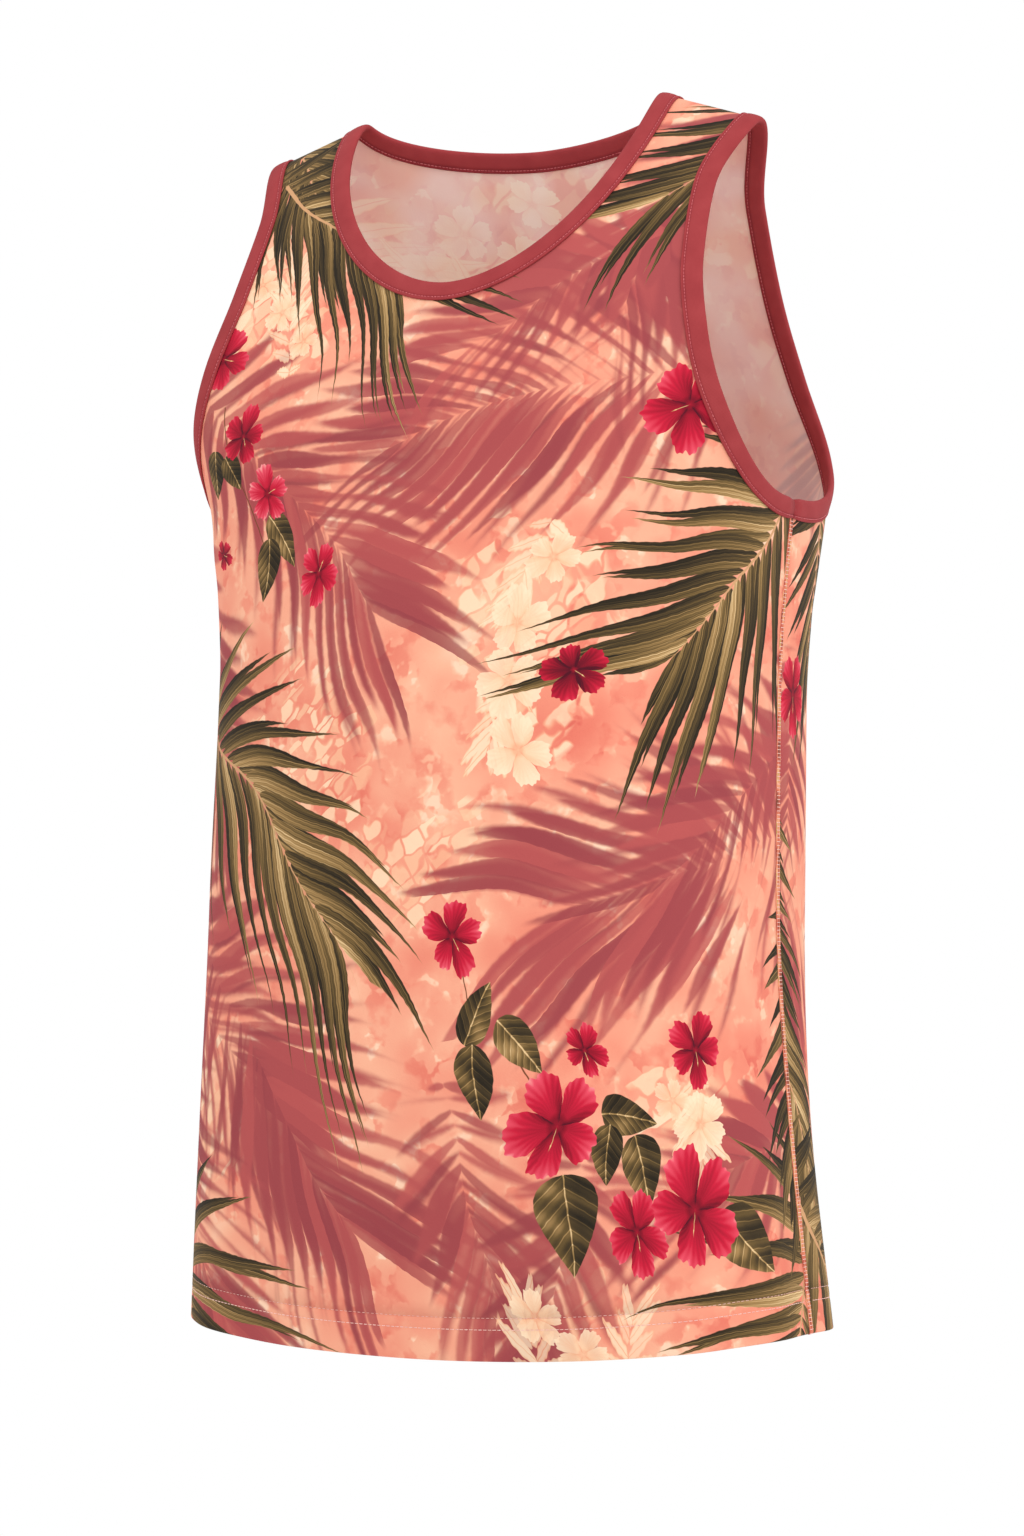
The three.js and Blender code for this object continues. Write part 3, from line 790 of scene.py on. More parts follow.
def petal_ring(m, stops):
    """Five ruffled petals round a centre, and the place seen from there in shares of the radius."""
    x, y = m.along / m.radius, m.across / m.radius * m.squash
    distance = root(x * x + y * y)
    angle = calculate("ARCTAN2", y, x)
    sector = angle * (5 / (2 * math.pi)) + 2.5
    petal = calculate("FLOOR", sector)
    chance = randoms(petal + m.seed)
    side = (sector - petal - 0.5) * 2 + (chance[1] - 0.5) * 0.2
    ruffle = sine(angle * 19 + chance[0] * 20) * 0.03 + sine(angle * 43) * 0.018
    reach = 1 - abs(side) ** 3.8 * 0.48 + ruffle - chance[2] * 0.18
    cover = clamped((reach - distance) * m.radius * 2.5)
    share = distance / reach
    vein = sine(side * 24 / (distance + 0.35)) * 0.07
    fold = sine(side * 5 + chance[0] * 6) * 0.1
    shade = clamped(side * 1.6 - 0.55) * 0.3 + abs(side) ** 8 * 0.2
    gloss = m.gloss + chance[1] * 0.1 - 0.06
    tone = share * share * 0.44 + vein * share + fold * share + gloss - shade
    tone = tone * clamped(distance * 5.5 - 0.2) + clamped(0.12 - distance) * 3
    return blend(cover, m.under, ramp(tone, stops)), x, y


def draw_bloom(m):
    """A pale flower of the foliage behind, with the ground showing faintly through it."""
    colour, _, _ = petal_ring(m, CREAM_TONES)
    return blend(m.wash * 0.4 + 0.64, m.under, colour)


def draw_flower(m):
    colour, x, y = petal_ring(m, PETAL_TONES)
    column = least(x, 0.42 - x) * 4
    knob = clamped((x - 0.27) * 9) * (sine(x * m.radius * 5) * 0.4 + 0.8)
    stalk = least(column, 0.3 + knob * 0.9) - abs(y) * m.radius
    return blend(clamped(stalk * 2.5), colour, STAMEN_CREAM)


def motif_group(kind, draw, labels):
    """One kind of motif as a group of nodes, whose inputs are the numbers that place it."""
    group = bpy.data.node_groups.new(kind, "ShaderNodeTree")
    group.interface.new_socket("under", in_out="INPUT", socket_type="NodeSocketColor")
    fields = ("u", "v", "wash", *labels)
    for label in fields:
        group.interface.new_socket(label, in_out="INPUT", socket_type="NodeSocketFloat")
    group.interface.new_socket("colour", in_out="OUTPUT", socket_type="NodeSocketColor")
    given = group.nodes.new("NodeGroupInput").outputs
    m = SimpleNamespace(under=given["under"], **{label: Field(given[label]) for label in fields})
    m.along, m.across = m.u - m.at_u, m.v - m.at_v
    if "turn" in labels:
        cos, sin = calculate("COSINE", m.turn), sine(m.turn)
        m.along, m.across = m.along * cos + m.across * sin, m.across * cos - m.along * sin
    if "bend" in labels:
        m.across = m.across - m.along * m.along * m.bend
    group.links.new(draw(m), group.nodes.new("NodeGroupOutput").inputs["colour"])
    return group


LINE = ("at_u", "at_v", "turn", "bend", "length")
SPREADING = (*LINE, "reach", "spacing", "width", "slant", "seed")
FLOWERING = ("at_u", "at_v", "turn", "squash", "radius", "gloss", "seed")
MOTIFS = {
    "petals": (draw_petals, ("at_u", "at_v", "radius", "cell")),
    "shadow": (draw_shadow, (*SPREADING, "soft")),
    "spray": (draw_spray, SPREADING),
    "bloom": (draw_bloom, FLOWERING),
    "frond": (draw_frond, (*SPREADING, "gold")),
    "stem": (draw_stem, LINE),
    "leaf": (draw_leaf, (*LINE, "width", "gold")),
    "flower": (draw_flower, FLOWERING),
}
MOTIF_GROUPS = {kind: motif_group(kind, *MOTIFS[kind]) for kind in MOTIFS}
# Where the motifs go, in the order they are printed. Turns are in degrees, 0 towards the wearer's
# left and 90 down, and bends are in parts of a thousand.
FRONT_PRINT = {
    "petals": (
        # at_u, at_v, radius, cell
        (-110, 145, 50, 10), (-160, 140, 40, 11), (70, 325, 50, 11), (80, 375, 35, 13),
        (160, 600, 45, 12), (10, 460, 45, 10), (75, 710, 45, 13), (-60, 400, 50, 8),
        (-150, 600, 50, 9),
    ),
    "shadow": (
        # at_u, at_v, turn, bend, length, reach, spacing, width, slant, seed, softness
        (200, 190, 174, -0.5, 220, 115, 15, 4.6, 0.4, 3, 2.2),
        (165, 20, 115, -0.5, 170, 85, 15, 3.8, 0.4, 8, 2.8),
        (120, 120, 155, -1, 120, 75, 15, 5, 0.5, 25, 2.6),
        (-145, 205, 38, 0.6, 180, 110, 15, 4.6, 0.5, 5, 2.4),
        (-240, 270, 50, 0.4, 180, 100, 15, 4.6, 0.5, 11, 3),
        (260, 450, 172, -0.6, 170, 125, 15, 5.2, 0.4, 2, 2.2),
        (275, 385, 150, -0.6, 165, 95, 15, 4.8, 0.5, 31, 2.6),
        (-215, 480, 42, 0.4, 165, 95, 15, 4.8, 0.5, 28, 2.8),
        (-140, 525, 50, 0.3, 175, 130, 15, 4.8, 0.5, 7, 2.4),
        (-230, 560, 60, 0, 185, 110, 16, 5.2, 0.5, 14, 3),
        (30, 605, 80, 0, 100, 75, 15, 5, 0.5, 21, 2.8),
        (275, 610, 168, -0.5, 130, 85, 15, 4.4, 0.5, 17, 3),
        (95, 640, 105, 0.5, 100, 65, 15, 4.4, 0.5, 4, 2.6),
    ),
    "spray": (
        # at_u, at_v, turn, bend, length, reach, spacing, width, slant, seed
        (-100, 175, -100, 2, 65, 32, 9, 3.4, 0.6, 3), (80, 290, 115, 2, 50, 26, 9, 3.4, 0.6, 6),
        (70, 365, 110, 0, 45, 26, 9, 3.6, 0.6, 9), (165, 585, 80, 0, 50, 28, 9, 3.6, 0.6, 12),
        (70, 745, -98, 0, 50, 30, 10, 4, 0.6, 15), (120, 745, -80, 0, 45, 28, 10, 4, 0.6, 18),
    ),
    "bloom": (
        # at_u, at_v, turn, squash, radius, gloss, seed
        (-130, 125, 20, 1.2, 14, 0.4, 103), (-110, 150, 80, 1.1, 15, 0.5, 109),
        (-90, 170, 140, 1.3, 12, 0.4, 115), (85, 305, 10, 1.2, 17, 0.5, 121),
        (65, 335, 60, 1.1, 21, 0.6, 127), (65, 370, 100, 1, 22, 0.6, 133),
        (70, 405, 80, 1.2, 22, 0.6, 139), (170, 605, 30, 1, 21, 0.6, 145),
        (150, 590, 70, 1.3, 14, 0.4, 151), (70, 705, 50, 1.2, 18, 0.5, 157),
        (95, 725, 10, 1.1, 19, 0.5, 163),
    ),
    "frond": (
        # at_u, at_v, turn, bend, length, reach, spacing, width, slant, seed, gold
        (-190, -20, 42, 0.2, 140, 105, 12, 3.4, 0.6, 31, -0.02),
        (-140, 50, 32, 0.9, 138, 110, 13, 3.2, 0.6, 33, -0.02),
        (210, 5, 138, 0, 125, 95, 18, 3.8, 0.6, 35, -0.04),
        (255, 250, 130, 0.5, 145, 125, 16, 4.6, 0.4, 40, 0.02),
        (-190, 375, 22, 2, 185, 120, 16, 4.6, 0.5, 45, 0.04),
        (-205, 670, 70, 0, 120, 140, 15, 4.6, 0, 50, -0.02),
        (255, 660, 112, 0, 120, 130, 14, 4.4, 0, 55, 0.04),
        (265, 500, 95, 0, 150, 60, 26, 4.2, 0.6, 60, -0.02),
    ),
    "stem": (
        # at_u, at_v, turn, bend, length
        (35, 510, 68, 4, 62), (85, 605, -120, 2, 50), (90, 610, 20, -4, 52),
        (-140, 200, 75, -1, 120), (165, 645, 40, 4, 38),
    ),
    "leaf": (
        # at_u, at_v, turn, bend, length, width, gold
        (40, 560, -64, 4, 33, 10, 0.1), (45, 560, 96, -3, 40, 11, 0.02),
        (60, 550, 46, 5, 34, 10, 0.22), (110, 600, -5, 6, 32, 11, 0.08),
        (115, 605, 100, -4, 33, 10, 0), (130, 610, 68, 4, 43, 12, 0.1),
        (90, 630, 82, 2, 54, 17, 0.1), (180, 650, 56, -4, 46, 15, 0.16),
        (-145, 225, 92, 4, 30, 10, 0.02), (-135, 230, 60, 4, 26, 9, 0),
        (-100, 275, 46, 5, 38, 11, 0.16), (-100, 290, 88, 5, 32, 10, 0.04),
    ),
    "flower": (
        # at_u, at_v, turn, squash, radius, gloss, seed
        (-150, 170, 20, 1.1, 22, 0.3, 3), (-120, 220, 70, 1.1, 18, 0.24, 9),
        (-100, 260, -20, 1, 21, 0.46, 15), (-145, 290, 30, 1.6, 14, 0.22, 21),
        (-60, 310, -60, 1.2, 19, 0.34, 27), (160, 220, 160, 1, 30, 0.32, 33),
        (100, 365, 40, 1, 18, 0.1, 39), (35, 510, 60, 1.1, 22, 0.34, 45),
        (85, 605, 105, 1.15, 31, 0.36, 51), (105, 565, 80, 1.25, 17, 0.26, 57),
        (165, 565, 80, 1.2, 21, 0.26, 63), (130, 665, 85, 1.45, 26, 0.34, 75),
        (165, 650, 105, 1.35, 36, 0.34, 69),
    ),
}
BACK_PRINT = {
    "petals": (
        (60, 130, 60, 10), (-60, 300, 50, 9), (100, 560, 50, 11), (-110, 640, 45, 12),
        (240, 620, 50, 10),
    ),
    "shadow": (
        (-160, 160, 10, 0.6, 220, 100, 15, 3.8, 0.45, 3, 2.4),
        (190, 250, 160, -0.8, 200, 110, 15, 3.8, 0.45, 8, 2.4),
        (-215, 380, 30, 0.6, 200, 110, 15, 4.2, 0.5, 5, 2.6),
        (240, 500, 165, -0.8, 200, 110, 15, 3.8, 0.45, 2, 2.4),
        (-120, 590, 40, 0.8, 160, 95, 15, 4.2, 0.5, 7, 2.6),
        (235, 380, 85, 0, 160, 90, 15, 4.2, 0.5, 12, 2.6),
    ),
    "spray": (
        (60, 160, -95, 0, 60, 32, 9, 3.6, 0.6, 6), (-60, 330, -80, 0, 60, 32, 9, 3.6, 0.6, 9),
        (110, 590, 80, 0, 60, 32, 10, 4, 0.6, 12),
    ),
    "bloom": (
        (50, 125, 20, 1.1, 18, 0.5, 103), (75, 150, 70, 1.2, 15, 0.4, 109),
        (-70, 300, 40, 1, 19, 0.5, 115), (95, 565, 10, 1.1, 20, 0.5, 121),
    ),
    "frond": (
        (175, -5, 140, 0.2, 190, 115, 17, 4, 0.6, 31, 0),
        (-175, 10, 50, 0, 120, 95, 18, 3.8, 0.6, 35, -0.04),
        (215, 255, 100, 0, 110, 75, 18, 4.4, 0.2, 42, 0),
        (-245, 320, 35, 1, 220, 125, 17, 4.8, 0.6, 45, 0.02),
        (275, 440, 100, 0.4, 240, 75, 18, 4, 1, 65, 0.08),
        (240, 650, 130, 0, 150, 100, 18, 5.2, 0.2, 50, 0.02),
    ),
    "stem": ((-20, 440, 70, 3, 70), (20, 640, -130, 2, 60),),
    "leaf": (
        (5, 500, -60, 4, 36, 10, 0.1), (-5, 500, 110, -4, 42, 11, 0.04),
        (15, 495, 40, 5, 36, 10, 0.16), (-40, 620, -150, 4, 40, 11, 0.08),
        (-10, 650, 90, 3, 56, 15, 0.06), (110, 330, 60, 4, 36, 10, 0.12),
    ),
    "flower": (
        (-20, 435, 60, 1, 26, 0.36, 3), (60, 480, 130, 1.1, 20, 0.3, 9),
        (90, 320, 20, 1, 30, 0.4, 15), (-120, 250, 80, 1.1, 20, 0.3, 21),
        (-30, 630, 20, 1, 32, 0.4, 27), (30, 600, 100, 1.1, 20, 0.3, 33),
        (-90, 470, 40, 1.1, 18, 0.2, 39), (20, 190, 150, 1, 24, 0.34, 45),
        (235, 375, 100, 1.2, 24, 0.3, 51),
    ),
}
INSIDE_PRINT = {
    "petals": (
        (-70, 100, 60, 15), (0, 65, 60, 15), (-200, 220, 80, 14), (190, 190, 90, 17),
    ),
    "shadow": (
        (270, 90, 125, 0, 220, 100, 15, 4.4, 0.5, 2, 3.4),
        (-270, 90, 55, 0, 220, 100, 15, 4.4, 0.5, 6, 3.4),
    ),
    "spray": (
        (-165, 45, 40, 0, 120, 60, 15, 6, 0.4, 8), (-40, 135, 212, 0, 80, 45, 18, 4, 0.4, 3),
    ),
    "bloom": (
        (-88, 98, 20, 1.1, 20, 0.8, 103), (-60, 72, 70, 1, 20, 0.8, 109),
        (-55, 118, 100, 1.2, 19, 0.8, 115), (-28, 95, 10, 1.1, 21, 0.8, 121),
        (-10, 60, 40, 1.1, 18, 0.8, 127), (175, 120, 60, 1.2, 20, 0.6, 133),
        (205, 215, 10, 1.2, 18, 0.6, 139),
    ),
}
INSIDE_WHITE = paint(252, 242, 238)
GROUND_TONES = tones(
    (0.0, 210, 92, 82), (0.3, 226, 120, 100), (0.55, 237, 148, 122), (0.8, 244, 178, 146),
    (1.0, 249, 206, 176),
)
JERSEY_ROUGHNESS = 0.82
JERSEY_SHINE = 0.2
KNIT_SIZE = 1.1
KNIT_DEPTH = 0.3
KNIT_STRENGTH = 0.25
# Of each unevenness: how large its features are, and how far it moves a motif.
WAVER_SIZE, WAVER = 70, 14
TREMBLE_SIZE, TREMBLE = 4, 0.6
CLOUD_SIZE = 60
BLOT_SIZE = 20
HAZE_SIZE = 40


def new_material(name, roughness, shine):
    """A material with one shader: the material, its node tree and the shader."""
    material = bpy.data.materials.new(name)
    material.use_nodes = True
    shader = material.node_tree.nodes["Principled BSDF"]
    shader.inputs["Roughness"].default_value = roughness
    shader.inputs["Specular IOR Level"].default_value = shine
    return material, material.node_tree, shader


def cloth_material(name):
    """A matt, slightly uneven jersey: the material, its shader and its place on the cut."""
    material, tree, shader = new_material(name, JERSEY_ROUGHNESS, JERSEY_SHINE)
    cut = tree.nodes.new("ShaderNodeUVMap")
    cut.uv_map = "cut"
    bump = tree.nodes.new("ShaderNodeBump")
    bump.inputs["Strength"].default_value = KNIT_STRENGTH
    bump.inputs["Distance"].default_value = KNIT_DEPTH * MM
    tree.links.new(noise(cut.outputs["UV"], KNIT_SIZE).outputs[0], bump.inputs["Height"])
    tree.links.new(bump.outputs["Normal"], shader.inputs["Normal"])
    return material, shader, cut.outputs["UV"]


def print_ground(place):
    """The mottled ground of the print. Its motifs lie on a place with the slight waver of a hand,
    given as u, v and a slow noise that makes them uneven."""
    waver = parts_of(noise(place, WAVER_SIZE, 0).outputs["Color"])
    tremble = parts_of(noise(place, TREMBLE_SIZE, 0).outputs["Color"])
    u, v, _ = parts_of(place)
    u = u + (waver[0] - 0.5) * WAVER + (tremble[0] - 0.5) * TREMBLE
    v = v + (waver[1] - 0.5) * WAVER + (tremble[1] - 0.5) * TREMBLE
    clouds = Field(noise(place, CLOUD_SIZE, 2).outputs[0])
    blots = parts_of(noise(place, BLOT_SIZE, 3).outputs["Color"])
    crisp = clamped(blots[0] * 26 - 13) + clamped(blots[1] * 26 - 14) - 0.8
    tone = clouds * 0.9 + 0.14 + crisp * clamped(blots[2] * 7 - 3.3) * 0.26 + blots[2] * 0.1
    return {"u": u, "v": v, "wash": waver[2]}, ramp(tone, GROUND_TONES)


def print_material(name, motifs, inside=False):
    """The printed jersey. On its inside the print only shows through faintly."""
    material, shader, place = cloth_material(name)
    tree = material.node_tree
    fields, colour = print_ground(place)
    for kind, given in motifs:
        node = tree.nodes.new("ShaderNodeGroup")
        node.node_tree = MOTIF_GROUPS[kind]
        tree.links.new(colour, node.inputs["under"])
        for label, field in fields.items():
            tree.links.new(field.socket, node.inputs[label])
        for label, number in given.items():
            node.inputs[label].default_value = number
        colour = node.outputs["colour"]
    if inside:
        haze = clamped(Field(noise(place, HAZE_SIZE).outputs[0]) * 2.6 - 0.8) * 0.3 + 0.34
        colour = blend(haze, colour, INSIDE_WHITE)
    tree.links.new(colour, shader.inputs["Base Color"])
    return material


def motifs_in(table):
    """The motifs of a table, each as its kind and its numbers by name, in a shader's units."""
    motifs = []
    for kind, rows in table.items():
        for row in rows:
            given = dict(zip(MOTIFS[kind][1], row))
            for label, scale in (("turn", math.pi / 180), ("bend", 0.001)):
                if label in given:
                    given[label] *= scale
            motifs.append((kind, given))
    return motifs


ROUND_MOTIF_ROOM = 1.2
LONG_MOTIF_ROOM = 1.1


def motif_discs(given):
    """Discs on the cut that a motif stays within."""
    if "radius" in given:
        return [(given["at_u"], given["at_v"], given["radius"] * ROUND_MOTIF_ROOM)]
    cos, sin = math.cos(given["turn"]), math.sin(given["turn"])
    discs = []
    for share in np.linspace(0, 1, 7):
        along = share * given["length"]
        across = given["bend"] * along * along
        size = given.get("reach", given.get("width", 1)) * LONG_MOTIF_ROOM
        if "reach" in given:
            spot = share * 0.84 + 0.14
            size *= math.sqrt(4 * spot * (1 - spot))
        u = given["at_u"] + along * cos - across * sin
        v = given["at_v"] + along * sin + across * cos
        discs.append((u, v, size))
    return discs


def on_tile(tile, discs):
    """Whether any of the discs touches a tile, with room for its faces and the print's waver."""
    row, column = divmod(tile, TILE_COLUMNS)
    middle_u = (column + 0.5 - TILE_COLUMNS / 2) * TILE_WIDTH
    middle_v = (row + 0.5) * TILE_HEIGHT
    for u, v, radius in discs:
        away_u = max(abs(u - middle_u) - TILE_WIDTH / 2, 0)
        away_v = max(abs(v - middle_v) - TILE_HEIGHT / 2, 0)
        if math.hypot(away_u, away_v) < radius + TILE_MARGIN:
            return True
    return False


def panel_materials(name, table):
    """A material for each tile of the print, with the motifs that reach it, then the inside's."""
    motifs = [(motif, motif_discs(motif[1])) for motif in motifs_in(table)]
    materials = []
    for tile in range(TILE_COLUMNS * TILE_ROWS):
        reaching = [motif for motif, discs in motifs if on_tile(tile, discs)]
        materials.append(print_material(f"{name}_{tile}", reaching))
    materials.append(print_material(f"{name}_inside", motifs_in(INSIDE_PRINT), inside=True))
    return materials


panel_front = make_panel("panel_front", FRONT, panel_materials("print_front", FRONT_PRINT))
panel_back = make_panel("panel_back", BACK, panel_materials("print_back", BACK_PRINT))
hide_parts("front")
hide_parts("back")

# ---- Neck and armhole bindings ---------------------------
# Each opening is bound with a 12 mm strip of plain rose jersey, folded over the raw edge and
# topstitched near its body-side edge. The neck strip is joined at the wearer's left shoulder and
# each armhole strip at its side seam.
STITCH_LINE = 10.2
BINDING_TOP = SEAM_GAP + CLOTH
BINDING_BACK = -2 * CLOTH - SEAM_GAP
BINDING_SLOT = RAW_EDGE - SEAM_GAP
# The section of a folded binding: the distance in from its free edge, and the height over the
# panel's outer face. The slot between the two layers holds the panel's raw edge.
OUTER_LAYER = (
    # in from the free edge, height over the layer's face
    (BINDING_WIDTH - 0.2, -0.05), (11.2, 0), (STITCH_LINE + 0.35, -0.2), (STITCH_LINE, -0.42),
    (STITCH_LINE - 0.45, -0.15), (9.0, 0.12), (7.2, 0.3), (5.0, 0.34), (3.0, 0.2), (1.4, -0.12),
    (0.45, -0.6), (0.0, -1.3),
)
INNER_LAYER = (
    (0.0, 1.3), (0.45, 0.6), (1.4, 0.12), (3.0, -0.1), (6.5, -0.15), (STITCH_LINE - 0.6, 0.05),
    (STITCH_LINE, 0.35), (STITCH_LINE + 0.6, 0.05), (BINDING_WIDTH - 0.2, 0.1),
    (BINDING_WIDTH + 0.1, 0.5),
)
BINDING_SECTION = (
    (BINDING_WIDTH, SEAM_GAP - 0.15),
    (BINDING_WIDTH + 0.15, 0.75),
    *((inwards, BINDING_TOP + height) for inwards, height in OUTER_LAYER),
    *((inwards, BINDING_BACK + height) for inwards, height in INNER_LAYER),
    (BINDING_WIDTH, -CLOTH - SEAM_GAP),
    (BINDING_SLOT, -CLOTH - SEAM_GAP),
    (BINDING_SLOT, SEAM_GAP - 0.1),
    (BINDING_WIDTH, SEAM_GAP - 0.15),
)
JOIN_NARROWING = 0.86
RUNS = {
    # The runs of each binding: panel, half, and whether it is followed backwards.
    "neck": ((FRONT, 1, True), (FRONT, -1, False), (BACK, -1, True), (BACK, 1, False)),
    "armhole": ((FRONT, 1, False), (BACK, 1, True)),
}


def binding_run(side, opening, mirrored):
    """The cloth that a binding follows: points and normals at its free edge, its raw edge and
    its sewn edge."""
    edge = free_edge(side, opening)
    lines = [edge, inset(side, opening, edge, RAW_EDGE), inset(side, opening, edge, BINDING_WIDTH)]
    places = np.stack(lines, axis=1) * [mirrored, 1]
    around, down = places[..., 0], places[..., 1]
    return form_point(side, around, down), form_normal(side, around, down)


def binding_strip(opening, mirrored=1):
    """Joins the runs of a binding end to end. Across a seam it lies midway between the panels."""
    points, normals = None, None
    for side, half, backwards in RUNS[opening]:
        run = binding_run(side, opening, half * mirrored)
        if backwards:
            run = [part[::-1] for part in run]
        if points is None:
            points, normals = run
            continue
        seam_point = (points[-1] + run[0][0]) / 2
        seam_normal = unit(normals[-1] + run[1][0])
        points = np.concatenate([points[:-1], seam_point[None], run[0][1:]])
        normals = np.concatenate([normals[:-1], seam_normal[None], run[1][1:]])
    points[0] = points[-1] = (points[0] + points[-1]) / 2
    normals[0] = normals[-1] = unit(normals[0] + normals[-1])
    return points, normals


def strip_point(strip, inwards, height):
    """A line of points along a binding, so far in from its free edge and over the panel."""
    points, normals = strip
    depths = (0, RAW_EDGE, BINDING_WIDTH)
    i = 1 if inwards > RAW_EDGE else 0
    share = (inwards - depths[i]) / (depths[i + 1] - depths[i])
    normal = unit(normals[:, i] * (1 - share) + normals[:, i + 1] * share)
    return points[:, i] * (1 - share) + points[:, i + 1] * share + normal * height, normal


def make_band(name, rings, lengths, profile, material):
    """A closed band: rings of points that follow a profile, at some lengths along it."""
    bm = new_sheet()
    u, v = np.meshgrid(lengths, arc_lengths(np.array(profile)), indexing="ij")
    lay_grid(bm, rings, u, v, rings - rings.mean(axis=1, keepdims=True))
    bmesh.ops.remove_doubles(bm, verts=bm.verts, dist=MERGE)
    bmesh.ops.holes_fill(bm, edges=[edge for edge in bm.edges if edge.is_boundary])
    return make_piece(name, bm, [material])


def make_binding(name, strip, material):
    rings = np.stack([strip_point(strip, *corner)[0] for corner in BINDING_SECTION], axis=1)
    middle = rings.mean(axis=1)
    # The two ends of the strip meet at a sewn join: they are drawn in a little and kept apart.
    heading = unit(rings[1] - rings[-2]).mean(axis=0)
    for end, away in ((0, 1), (-1, -1)):
        drawn_in = (rings[end] - middle[end]) * JOIN_NARROWING
        rings[end] = middle[end] + drawn_in + heading * away * SEAM_GAP / 2
    lengths = arc_lengths(strip[0][:, 1])
    band = make_band(name, rings, lengths, BINDING_SECTION, material)
    return band, lengths[-1] * MM


STRIPS = {
    "binding_neck": binding_strip("neck"),
    "binding_armhole_left": binding_strip("armhole", 1),
    "binding_armhole_right": binding_strip("armhole", -1),
}
REPLACED = {
    "binding_neck": "neck_binding",
    "binding_armhole_left": "armhole_binding_left",
    "binding_armhole_right": "armhole_binding_right",
}
# How far round the section each row of stitches lies.
SECTION_LENGTHS = arc_lengths(np.array(BINDING_SECTION))
OUTER_STITCH, INNER_STITCH = (
    float(length)
    for length, corner in zip(SECTION_LENGTHS, BINDING_SECTION)
    if corner[0] == STITCH_LINE
)
KNIT_PITCH = 1.3
ROSE_MOTTLE = 14
ROSE_TONES = tones((0.0, 130, 40, 46), (0.5, 155, 54, 57), (1.0, 178, 74, 76))


def binding_material():
    """Plain rose jersey with a fine diagonal knit, and painted shade along the sunk rows of
    stitches.
    """
    material, shader, place = cloth_material("rose_jersey")
    along, across, _ = parts_of(place)
    step = 2 * math.pi / KNIT_PITCH
    knit = sine((along + across) * step) * sine((along - across) * step)
    uneven = Field(noise(place, ROSE_MOTTLE, 2).outputs[0])
    # Painted shade: the jersey darkens along the groove of each row of stitches, more widely and
    # deeper on the inner face.
    outer_stitch_shade = clamped(1.2 - abs(across - OUTER_STITCH) * 0.9)
    inner_stitch_shade = clamped(1.8 - abs(across - INNER_STITCH) * 0.8)
    tone = knit * 0.16 + uneven * 0.36 + 0.34 - outer_stitch_shade * 0.3 - inner_stitch_shade * 0.4
    place.id_data.links.new(ramp(tone, ROSE_TONES), shader.inputs["Base Color"])
    return material


rose_jersey = binding_material()
for name, strip in STRIPS.items():
    binding, binding_length = make_binding(name, strip, rose_jersey)
    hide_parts(REPLACED[name])

# ---- Side seams ------------------------------------------
# The panels are joined down each side by a flat seam: a narrow raised band of overlapped cloth
# that runs from under the armhole binding to the hem and turns up inside it.
SEAM_SECTION = (
    # across the band, height over the panels
    (-2.4, -0.2), (-2.4, 0.12), (-2.1, 0.3), (-1.3, 0.4), (0.0, 0.32),
    (1.3, 0.4), (2.1, 0.3), (2.4, 0.12), (2.4, -0.2), (-2.4, -0.2),
)
SEAM_TOP = ARMHOLE_DROP + 7
SEAM_ROWS = 119
STREAK_LENGTH = 14
STREAK_WIDTH = 2.2
SEAM_TONES = tones(
    (0.0, 112, 70, 48), (0.3, 184, 84, 70), (0.55, 222, 128, 100), (0.8, 236, 176, 130),
    (1.0, 176, 148, 84),
)


def seam_path(half):
    """The line of a side seam and its outward direction, from the armhole round the hem."""
    rises, depths, _ = hem_path()
    hem_drop = LENGTH - HEM_SIDE_RISE
    drops = np.linspace(SEAM_TOP, hem_drop - HEM_DEPTH, SEAM_ROWS, endpoint=False)
    drops = np.concatenate([drops, hem_drop - rises])
    inward = np.concatenate([np.zeros(SEAM_ROWS), depths])
    down = down_at(section["half_width"](drops), drops)
    around = np.full_like(down, QUARTER * half)
    points = (form_point(FRONT, around, down) + form_point(BACK, around, down)) / 2
    points[:, 0] -= half * inward
    heading = unit(np.gradient(points, axis=0))
    return points, unit(np.cross([0, 1, 0], heading)) * -half


def make_seam(name, half, material):
    points, outward = seam_path(half)
    width, height = np.array(SEAM_SECTION).T
    across, out = np.array([0, 1, 0]) * width[:, None], outward[:, None] * height[:, None]
    rings = points[:, None] + out + across
    return make_band(name, rings, arc_lengths(points), SEAM_SECTION, material)


def seam_material():
    """The overlapped edges of the print, in short streaks of its colours."""
    material, shader, place = cloth_material("seam_band")
    along, across, _ = parts_of(place)
    streaks = add_node("CombineXYZ", along / STREAK_LENGTH, across / STREAK_WIDTH).outputs[0]
    tone = Field(noise(streaks, 1, 2).outputs[0]) * 2.2 - 0.6
    place.id_data.links.new(ramp(tone, SEAM_TONES), shader.inputs["Base Color"])
    return material


seam_band = seam_material()
for name, half in (("seam_left", 1), ("seam_right", -1)):
    make_seam(name, half, seam_band)

# ---- Stitches --------------------------------------------
# Thread in short tubes that dip into the cloth at both ends: a row on each face of a binding, two
# rows round the hem and a ladder of small stitches across each side seam.
THREAD_RADIUS = 0.24
THREAD_DIP = 0.3
THREAD_MOTTLE = 1.2
THREAD_ROUGHNESS = 0.6
THREAD_SHINE = 0.3
# A stitch takes up this share of its pitch, and dips into the cloth at both ends.
STITCH_SHARE = 0.72
STITCH_PLACES = np.array([-0.5, -0.3, 0.3, 0.5]) * STITCH_SHARE
STITCH_HEIGHTS = np.array([[-THREAD_DIP], [0], [0], [-THREAD_DIP]])


def thread_material(name, stops):
    material, tree, shader = new_material(name, THREAD_ROUGHNESS, THREAD_SHINE)
    place = tree.nodes.new("ShaderNodeTexCoord").outputs["Object"]
    tone = Field(texture("TexNoise", place, THREAD_MOTTLE * MM).outputs[0])
    tree.links.new(ramp(tone, stops), shader.inputs["Base Color"])
    return material


